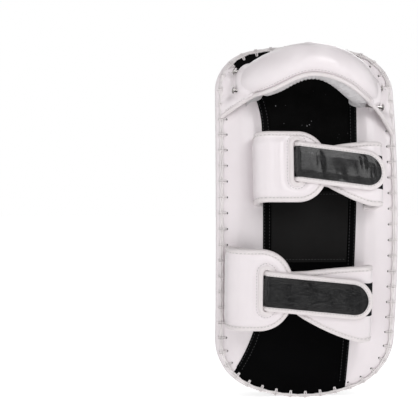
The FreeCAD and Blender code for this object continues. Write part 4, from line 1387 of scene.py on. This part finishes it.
def build_left_cuff(strap, materials, plump):
    """Padded left cuff with its binding, lining and framed slot; returns its stitch rows.

    The padding swells by `plump`, less a bell-shaped groove at SLOT_GROOVE from the slot's middle
    line and with a bell-shaped ridge at SLOT_RIDGE from it.
    """
    name = strap["name"]
    place = left_place(strap)
    inset = BINDING - BINDING_TUCK
    runs = np.linspace(0.0, place.length - inset, 110)
    x = np.where(runs < place.top_start, strap["left_fold"], place.x_at(runs))
    half = left_limits(strap, x, inset)
    v = lerp(-half[:, None], half[:, None], np.linspace(0.0, 1.0, 60)[None, :])
    beyond = np.maximum(np.abs(v - strap["slot_rise"]) - SLOT_REACH, 0.0)
    from_slot = np.hypot(runs[:, None] - place.run_at(strap["slot"], place.top_start), beyond)
    swell = plump * (1.0 - 0.85 * bell(from_slot, SLOT_GROOVE, 2.2)
                     + 0.55 * bell(from_slot, SLOT_RIDGE, 5.0))
    sheet = pattern_sheet(place, runs, -half, half, 60, CUFF / 2, LINING_TOP, swell)
    cuff = make_piece(name + "_left_pad", cut_slot(sheet, place, strap), materials["White leather"])
    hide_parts(name + "_left_cuff")
    sheet = pattern_sheet(place, runs, -half, half, 44, LINING_TOP, LINING_BOTTOM)
    lining = make_piece(name + "_left_lining", cut_slot(sheet, place, strap), materials["Lining"])
    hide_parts(name + "_left_cuff_lining")

    corner = strap["left_corner"]
    wide = strap["left_width"] / 2
    straight = place.length - corner
    turn = np.linspace(0.0, math.pi / 2, 16)
    run = np.concatenate([np.linspace(0.0, straight, 120), straight + corner * np.sin(turn)])
    across = np.concatenate([np.full(120, wide), wide - corner + corner * np.cos(turn)])
    outline = np.stack([run, across], axis=1)
    outline = resample(np.concatenate([outline, outline[::-1] * (1, -1)]), 1.6)
    binding = make_piece(name + "_left_edge", ribbon(place, outline, binding_section(BINDING, CUFF)),
                         materials["Binding leather"])
    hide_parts(name + "_left_cuff_binding")

    # Section of the slot's lip: across from the slot's edge, and out of the cuff's sheet.
    loop = slot_loop(strap, place, 0.0)
    crest = CUFF / 2 + plump
    frame_section = [(0.0, -CUFF / 2 - 0.3), (0.0, crest + 0.4), (0.6, crest + 1.1), (1.8, crest + 1.3),
                     (3.4, crest + 0.9), (4.8, crest + 0.3), (5.2, CUFF / 2), (1.4, CUFF / 2 - 0.4),
                     (1.4, -CUFF / 2 - 0.3)]
    frame_section = [(-offset if clockwise(loop) else offset, out) for offset, out in frame_section]
    frame_piece = make_piece(name + "_slot_lip", ribbon(place, loop, frame_section, True),
                             materials["Binding leather"])
    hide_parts(name + "_slot_frame")
    row = shifted(outline, BINDING - ROW_TUCK)[4:-4]
    return [stitch_row(place, slot_loop(strap, place, SLOT_ROW), FINE_PITCH,
                       CUFF / 2 + 0.2 * plump + 0.25, True),
            stitch_row(place, row, EDGE_PITCH, CUFF / 2 + LIP + ROW_LIFT)]


def clockwise(loop):
    """Whether ribbon's across direction points into a closed loop."""
    across = right_of(directions(loop, True))
    outward = loop - loop.mean(axis=0)
    return float((across * outward).sum()) < 0


def shifted(curve, inward):
    """An open outline moved towards its own inside."""
    across = right_of(directions(curve))
    moved = curve + across * inward
    centre = curve.mean(axis=0)
    if np.linalg.norm(moved - centre, axis=1).mean() > np.linalg.norm(curve - centre, axis=1).mean():
        moved = curve - across * inward
    return moved


def cut_slot(sheet, place, strap):
    """Leave out the faces of a cuff sheet that lie inside its slot."""
    points, faces = sheet
    centre = np.array([place.run_at(strap["slot"], place.top_start), strap["slot_rise"]])
    middle = place(centre[0], centre[1], 0.0)
    along = place(centre[0] + 1.0, centre[1], 0.0) - middle
    side = place(centre[0], centre[1] + 1.0, 0.0) - middle
    out = np.cross(along, side)
    kept = []
    for face in faces:
        gap = points[face].mean(axis=0) - middle
        run = float(np.dot(gap, along))
        across = float(np.dot(gap, side))
        beyond = max(abs(across) - SLOT_REACH, 0.0)
        if abs(float(np.dot(gap, out))) > CUFF or math.hypot(run, beyond) > SLOT_HALF + SLOT_EASE:
            kept.append(face)
    return points, kept


def build_right_cuff(strap, materials, plump):
    """Padded right cuff that narrows into the neck in the slot; returns its stitch rows."""
    name = strap["name"]
    place = right_place(strap)
    runs = np.linspace(0.0, place.length, 150)
    low, high = right_limits(strap, place, runs, BINDING - BINDING_TUCK)
    swell = plump * 0.6 * ease((runs - place.run_at(strap["left_end"] + 8.0, 0.0)) / 14.0)[:, None]
    sheet = pattern_sheet(place, runs, low, high, 40, CUFF / 2, LINING_TOP, swell)
    cuff = make_piece(name + "_right_pad", sheet, materials["White leather"])
    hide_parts(name + "_right_cuff")
    sheet = pattern_sheet(place, runs, low, high, 40, LINING_TOP, LINING_BOTTOM)
    lining = make_piece(name + "_right_lining", sheet, materials["Lining"])
    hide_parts(name + "_right_cuff_lining")
    low, high = right_limits(strap, place, runs, 0.0)
    edges = []
    threads = []
    for side, limit in ((1, high), (-1, low)):
        curve = resample(np.stack([runs, limit], axis=1), 1.6)
        section = [(side * inward, out) for inward, out in binding_section(BINDING, CUFF)]
        edges.append(ribbon(place, curve, section))
        inner = curve - (0.0, side * (BINDING - ROW_TUCK))
        row = inner[inner[:, 0] > place.run_at(strap["left_end"] + 4.0, 0.0)]
        threads.append(stitch_row(place, row, EDGE_PITCH, CUFF / 2 + LIP + ROW_LIFT))
    binding = make_piece(name + "_right_edge", join(edges), materials["Binding leather"])
    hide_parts(name + "_right_cuff_binding")

    start = place.run_at(strap["left_end"] + 20.0, 0.0)
    stop = place.run_at(strap["right_fold"] - CUFF / 2 - 0.5, 0.0)
    runs = np.linspace(start, stop, 40)
    x = np.minimum(place.x_at(runs), strap["right_fold"] - 6.0)
    middle = tongue_line(strap, x)
    half = TONGUE_WIDTH / 2 - 3.5
    sheet = pattern_sheet(place, runs, middle - half, middle + half, 24, CUFF / 2 + LOOP_THICKNESS,
                          CUFF / 2)
    patch = make_piece(name + "_loop_field", sheet, materials["Hook and loop"])
    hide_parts(name + "_loop_patch")
    return threads


def build_tongue(strap, materials):
    """Tongue that comes up out of the slot and folds over the strap, with its binding and stitches.

    Its leather, binding and stitches are laid on one path, which rises out of the slot and turns over
    at the hinge height.
    """
    name = strap["name"]
    path = rounded_path([(strap["slot"], STACK_NECK + 3.0), (strap["slot"], HINGE_HEIGHT),
                         (strap["tip"] + 1.0, HINGE_HEIGHT)], [TONGUE_BEND], 0.6)
    place = strap_place(path, strap["station"])
    first = place.run_at(strap["slot"] + TONGUE_BEND, 0.0)
    tip_run = first + strap["tip"] - strap["slot"] - TONGUE_BEND
    half = TONGUE_WIDTH / 2

    def middle(run):
        """How far across the strap the tongue's middle lies at a run along it."""
        return tongue_line(strap, np.maximum(place.x_at(run), strap["slot"]))

    def limits(inset):
        """Runs along the tongue with its lower and upper limits: two lines and a half-round tip."""
        turn = np.linspace(0.0, math.pi / 2, 26)
        runs = np.concatenate([np.linspace(0.0, tip_run - half, 90)[:-1],
                               tip_run - half + (half - inset) * np.sin(turn)])
        beyond = np.clip(runs - (tip_run - half), 0.0, half - inset)
        wide = np.sqrt(np.maximum((half - inset) ** 2 - beyond ** 2, 0.0))
        return runs, middle(runs) - wide, middle(runs) + wide

    sheet = pattern_sheet(place, *limits(TONGUE_BINDING - TONGUE_TUCK), 40, TONGUE / 2, -TONGUE / 2,
                          TONGUE_PUFF, strap["creases"])
    leather = make_piece(name + "_tongue_field", sheet, materials["Tongue leather"], None)
    runs, low, high = limits(0.0)
    outline = np.concatenate([np.stack([runs, high], axis=1), np.stack([runs, low], axis=1)[::-1]])
    outline = resample(outline, 1.4)
    edge = ribbon(place, outline, binding_section(TONGUE_BINDING, TONGUE))
    binding = make_piece(name + "_tongue_edge", edge, materials["Binding leather"], None)
    row = shifted(outline, TONGUE_BINDING - 1.2)[3:-3]
    thread = stitch_row(place, row, FINE_PITCH, TONGUE / 2 + LIP + 0.1)
    stitches = make_piece(name + "_tongue_stitches", thread, materials["Thread"], None)
    start = tuple((place(2.0, 0.0, 0.0) * MM).tolist())
    end = tuple((place(first + 3.5, 0.0, 0.0) * MM).tolist())
    for piece in (leather, binding, stitches):
        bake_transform(piece)
    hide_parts(name + "_tongue")
    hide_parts(name + "_tongue_binding")


def build_strap(strap, materials, settings):
    """One whole strap: left cuff, right cuff and tongue, and the stitches that stay on the pad."""
    plump = settings.plump / MM
    threads = build_left_cuff(strap, materials, plump)
    threads.extend(build_right_cuff(strap, materials, plump))
    make_piece(strap["name"] + "_cuff_stitches", join(threads), materials["Thread"])
    build_tongue(strap, materials)


# ---- Stage --------------------------------------------------------------------------------------
WHITE = (1.0, 1.0, 1.0, 1.0)
FLOOR_HALF = 30.0
FLOOR_GLOW = 0.78
# Lamps as name, place, size and share of the main lamp's power.
LAMPS = (
    ("Key", (0.45, -1.45, 0.75), 0.7, 1.0),
    ("Fill", (-1.3, -1.1, 0.5), 1.2, 0.35),
    ("Side", (1.3, -1.2, 0.0), 1.0, 0.22),
    ("Streak", (-0.9, -1.0, 1.6), 0.25, 0.30),
    ("Back", (0.3, 1.4, 0.9), 1.2, 0.5),
)
SENSOR = 36.0
FOCAL_SHARE = 1215.0 / 418.0
CAMERA_PLACE = (-0.226, -1.285, 0.014)
CAMERA_HEADING = math.radians(5.3)
GLOSS_STRENGTH = 1.4


def place_item(name, data, place, direction):
    """Link a lamp or camera that looks in a direction."""
    item = bpy.data.objects.new(name, data)
    item.location = place
    item.rotation_euler = direction.to_track_quat("-Z", "Y").to_euler()
    bpy.context.scene.collection.objects.link(item)
    return item


def build_floor():
    """A wide pale floor under the object, left out of its reflections."""
    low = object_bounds()[0][2]
    half = FLOOR_HALF
    corners, faces = grid(np.array([[[x, y, low] for x in (-half, half)] for y in (-half, half)]))
    mesh = bpy.data.meshes.new("Floor")
    mesh.from_pydata(corners.tolist(), [], faces)
    floor = bpy.data.objects.new("Floor", mesh)
    material = bpy.data.materials.new("Floor")
    material.use_nodes = True
    shader = material.node_tree.nodes["Principled BSDF"]
    for socket, value in (("Base Color", (0.8, 0.8, 0.8, 1.0)), ("Roughness", 0.95),
                          ("Specular IOR Level", 0.0), ("Emission Color", WHITE),
                          ("Emission Strength", FLOOR_GLOW)):
        shader.inputs[socket].default_value = value
    mesh.materials.append(material)
    bpy.context.scene.collection.objects.link(floor)
    floor.visible_glossy = False
    floor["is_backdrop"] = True


def build_world(strength):
    """Even light from all round, seen by gloss as soft bands, and plain white behind the object."""
    world = bpy.data.worlds.new("Studio")
    bpy.context.scene.world = world
    world.use_nodes = True
    tree = world.node_tree
    glow = tree.nodes["Background"]
    glow.inputs["Color"].default_value = WHITE
    sky = tree.nodes.new("ShaderNodeTexCoord").outputs["Generated"]
    axes = tree.nodes.new("ShaderNodeSeparateXYZ")
    tree.links.new(sky, axes.inputs["Vector"])
    band = tree.nodes.new("ShaderNodeTexWave")
    band.bands_direction = "X"
    band.inputs["Scale"].default_value = 0.5
    band.inputs["Distortion"].default_value = 1.2
    tree.links.new(sky, band.inputs["Vector"])
    # What gloss sees brightens with height and is broken into soft upright bands.
    gloss = math_node(tree, "MULTIPLY", remap(tree, axes.outputs["Z"], -0.40, 0.40, 0.25, 1.5),
                      remap(tree, band.outputs["Fac"], 0.2, 0.8, 0.12, 2.1))
    gloss = math_node(tree, "MULTIPLY", gloss, strength * GLOSS_STRENGTH)
    light_path = tree.nodes.new("ShaderNodeLightPath")
    power = tree.nodes.new("ShaderNodeMix")
    power.inputs["A"].default_value = strength
    tree.links.new(gloss, power.inputs["B"])
    tree.links.new(light_path.outputs["Is Glossy Ray"], power.inputs["Factor"])
    tree.links.new(power.outputs["Result"], glow.inputs["Strength"])
    paper = tree.nodes.new("ShaderNodeBackground")
    paper.inputs["Strength"].default_value = 1.0
    paper.inputs["Color"].default_value = WHITE
    mix = tree.nodes.new("ShaderNodeMixShader")
    tree.links.new(light_path.outputs["Is Camera Ray"], mix.inputs["Fac"])
    tree.links.new(glow.outputs["Background"], mix.inputs[1])
    tree.links.new(paper.outputs["Background"], mix.inputs[2])
    tree.links.new(mix.outputs["Shader"], tree.nodes["World Output"].inputs["Surface"])


def build_stage(settings):
    """A wide pale floor, a pale world, soft lamps and the camera."""
    build_floor()
    build_world(settings.world)
    for name, place, size, share in LAMPS:
        lamp = bpy.data.lights.new(name, "AREA")
        lamp.size = size
        lamp.energy = settings.key * share
        place_item(name, lamp, place, -Vector(place))
    camera = bpy.data.cameras.new("Camera")
    camera.sensor_width = SENSOR
    camera.lens = SENSOR * FOCAL_SHARE
    look = Vector((math.sin(CAMERA_HEADING), math.cos(CAMERA_HEADING), 0.0))
    bpy.context.scene.camera = place_item("Camera", camera, CAMERA_PLACE, look)
    bpy.context.scene.view_settings.view_transform = "Standard"


# ---- Settings -----------------------------------------------------------------------------------
class FinishSettings(bpy.types.PropertyGroup):
    """Colours of the leathers, the suede and the cord."""

    white: FloatVectorProperty(name="White leather", description="Lightest tone of the white leather",
                               default=(0.80, 0.745, 0.765), min=0.0, max=1.0, subtype="COLOR")
    binding: FloatVectorProperty(name="Binding leather",
                                 description="Lightest tone of the edge bindings",
                                 default=(0.76, 0.71, 0.715), min=0.0, max=1.0, subtype="COLOR")
    black: FloatVectorProperty(name="Black leather", description="Lightest tone of the black leather",
                               default=(0.0024, 0.0024, 0.0026), min=0.0, max=1.0, subtype="COLOR")
    suede: FloatVectorProperty(name="Suede", description="Lightest tone of the suede panel",
                               default=(0.0045, 0.0045, 0.0045), min=0.0, max=1.0, subtype="COLOR")
    lace: FloatVectorProperty(name="Lace", description="Lightest tone of the lacing cord",
                              default=(0.80, 0.76, 0.76), min=0.0, max=1.0, subtype="COLOR")


class BodySettings(bpy.types.PropertyGroup):
    """How full the strike cushion and the white side panels are."""

    crown: FloatProperty(name="Crown", description="Rise of the strike face above its rim",
                         default=0.0045, min=0.0, unit="LENGTH")
    rise: FloatProperty(name="Panel rise",
                        description="Rise of the white side panels above their seams",
                        default=0.0032, min=0.0, unit="LENGTH")


class LacingSettings(bpy.types.PropertyGroup):
    """The cord that laces the back to the edge."""

    strand: FloatProperty(name="Strand", description="Thickness of one strand of the doubled cord",
                          default=0.0021, min=0.0005, unit="LENGTH")


class GuardSettings(bpy.types.PropertyGroup):
    """The arched roll over the hand."""

    flare: FloatProperty(name="Flare",
                         description="How far the roll's shoulders bulge towards the elbow",
                         default=0.009, min=0.0, unit="LENGTH")


class StrapSettings(bpy.types.PropertyGroup):
    """The padded forearm straps."""

    plump: FloatProperty(name="Plumpness",
                         description="Rise of a cuff's padding above its edge binding",
                         default=0.0013, min=0.0, unit="LENGTH")


class StageSettings(bpy.types.PropertyGroup):
    """Light round the object."""

    world: FloatProperty(name="World", description="Strength of the even light from all round",
                         default=0.38, min=0.0)
    key: FloatProperty(name="Key", description="Power of the main lamp",
                       default=7.6, min=0.0, unit="POWER")


# ---- Operators ----------------------------------------------------------------------------------
class THAIPAD_OT_finishes(bpy.types.Operator):
    """Make every material and give the construction's own parts theirs"""

    bl_idname = "thaipad.finishes"
    bl_label = "Finishes"

    def execute(self, context):
        make_materials(context.scene.thai_pad_finishes)
        for name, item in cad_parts.items():
            finish = "Hook and loop"
            if "rivet" in name:
                finish = "Nickel"
            elif "foam" in name:
                finish = "Foam"
            item.data.materials.clear()
            item.data.materials.append(bpy.data.materials[finish])
        return {"FINISHED"}


class THAIPAD_OT_body(bpy.types.Operator):
    """Build the strike cushion, gusset, piping and pale edge"""

    bl_idname = "thaipad.body"
    bl_label = "Body"

    def execute(self, context):
        build_body(bpy.data.materials, context.scene.thai_pad_body)
        return {"FINISHED"}


class THAIPAD_OT_back(bpy.types.Operator):
    """Build the panels of the back"""

    bl_idname = "thaipad.back"
    bl_label = "Back"

    def execute(self, context):
        build_back(bpy.data.materials, context.scene.thai_pad_body)
        return {"FINISHED"}


class THAIPAD_OT_lacing(bpy.types.Operator):
    """Build the laced rim"""

    bl_idname = "thaipad.lacing"
    bl_label = "Lacing"

    def execute(self, context):
        build_lacing(bpy.data.materials, context.scene.thai_pad_lacing)
        return {"FINISHED"}


class THAIPAD_OT_guard(bpy.types.Operator):
    """Build the hand guard"""

    bl_idname = "thaipad.guard"
    bl_label = "Hand guard"

    def execute(self, context):
        build_guard(bpy.data.materials, context.scene.thai_pad_guard)
        return {"FINISHED"}


class THAIPAD_OT_straps(bpy.types.Operator):
    """Build both forearm straps"""

    bl_idname = "thaipad.straps"
    bl_label = "Straps"

    def execute(self, context):
        for strap in (UPPER, LOWER):
            build_strap(strap, bpy.data.materials, context.scene.thai_pad_straps)
        return {"FINISHED"}


class THAIPAD_OT_stage(bpy.types.Operator):
    """Set the floor, the light and the camera"""

    bl_idname = "thaipad.stage"
    bl_label = "Stage"

    def execute(self, context):
        build_stage(context.scene.thai_pad_stage)
        return {"FINISHED"}


class THAIPAD_PT_panel(bpy.types.Panel):
    """Sidebar panel with every size and a button for each group of pieces."""

    bl_idname = "THAIPAD_PT_panel"
    bl_label = "Thai pad"
    bl_space_type = "VIEW_3D"
    bl_region_type = "UI"
    bl_category = "Thai pad"

    def draw(self, context):
        for settings in GROUPS:
            group = getattr(context.scene, settings)
            for name in group.bl_rna.properties.keys():
                if name not in ("rna_type", "name"):
                    self.layout.prop(group, name)
        for operator in OPERATORS:
            self.layout.operator(operator.bl_idname)


GROUPS = {
    "thai_pad_finishes": FinishSettings,
    "thai_pad_body": BodySettings,
    "thai_pad_lacing": LacingSettings,
    "thai_pad_guard": GuardSettings,
    "thai_pad_straps": StrapSettings,
    "thai_pad_stage": StageSettings,
}
OPERATORS = (THAIPAD_OT_finishes, THAIPAD_OT_body, THAIPAD_OT_back, THAIPAD_OT_lacing, THAIPAD_OT_guard,
             THAIPAD_OT_straps, THAIPAD_OT_stage)


def register():
    """Register the classes and hang each group of settings on the scene."""
    for group in GROUPS.values():
        bpy.utils.register_class(group)
    for item in (*OPERATORS, THAIPAD_PT_panel):
        bpy.utils.register_class(item)
    for name, group in GROUPS.items():
        setattr(bpy.types.Scene, name, PointerProperty(type=group))


def unregister():
    """Take everything off again that register put on."""
    for name in GROUPS:
        delattr(bpy.types.Scene, name)
    for item in (THAIPAD_PT_panel, *reversed(OPERATORS), *reversed(GROUPS.values())):
        bpy.utils.unregister_class(item)


def main():
    """Build the whole object."""
    register()
    bpy.ops.thaipad.finishes()
    bpy.ops.thaipad.body()
    bpy.ops.thaipad.back()
    bpy.ops.thaipad.lacing()
    bpy.ops.thaipad.guard()
    bpy.ops.thaipad.straps()
    bpy.ops.thaipad.stage()


if __name__ == "__main__":
    main()
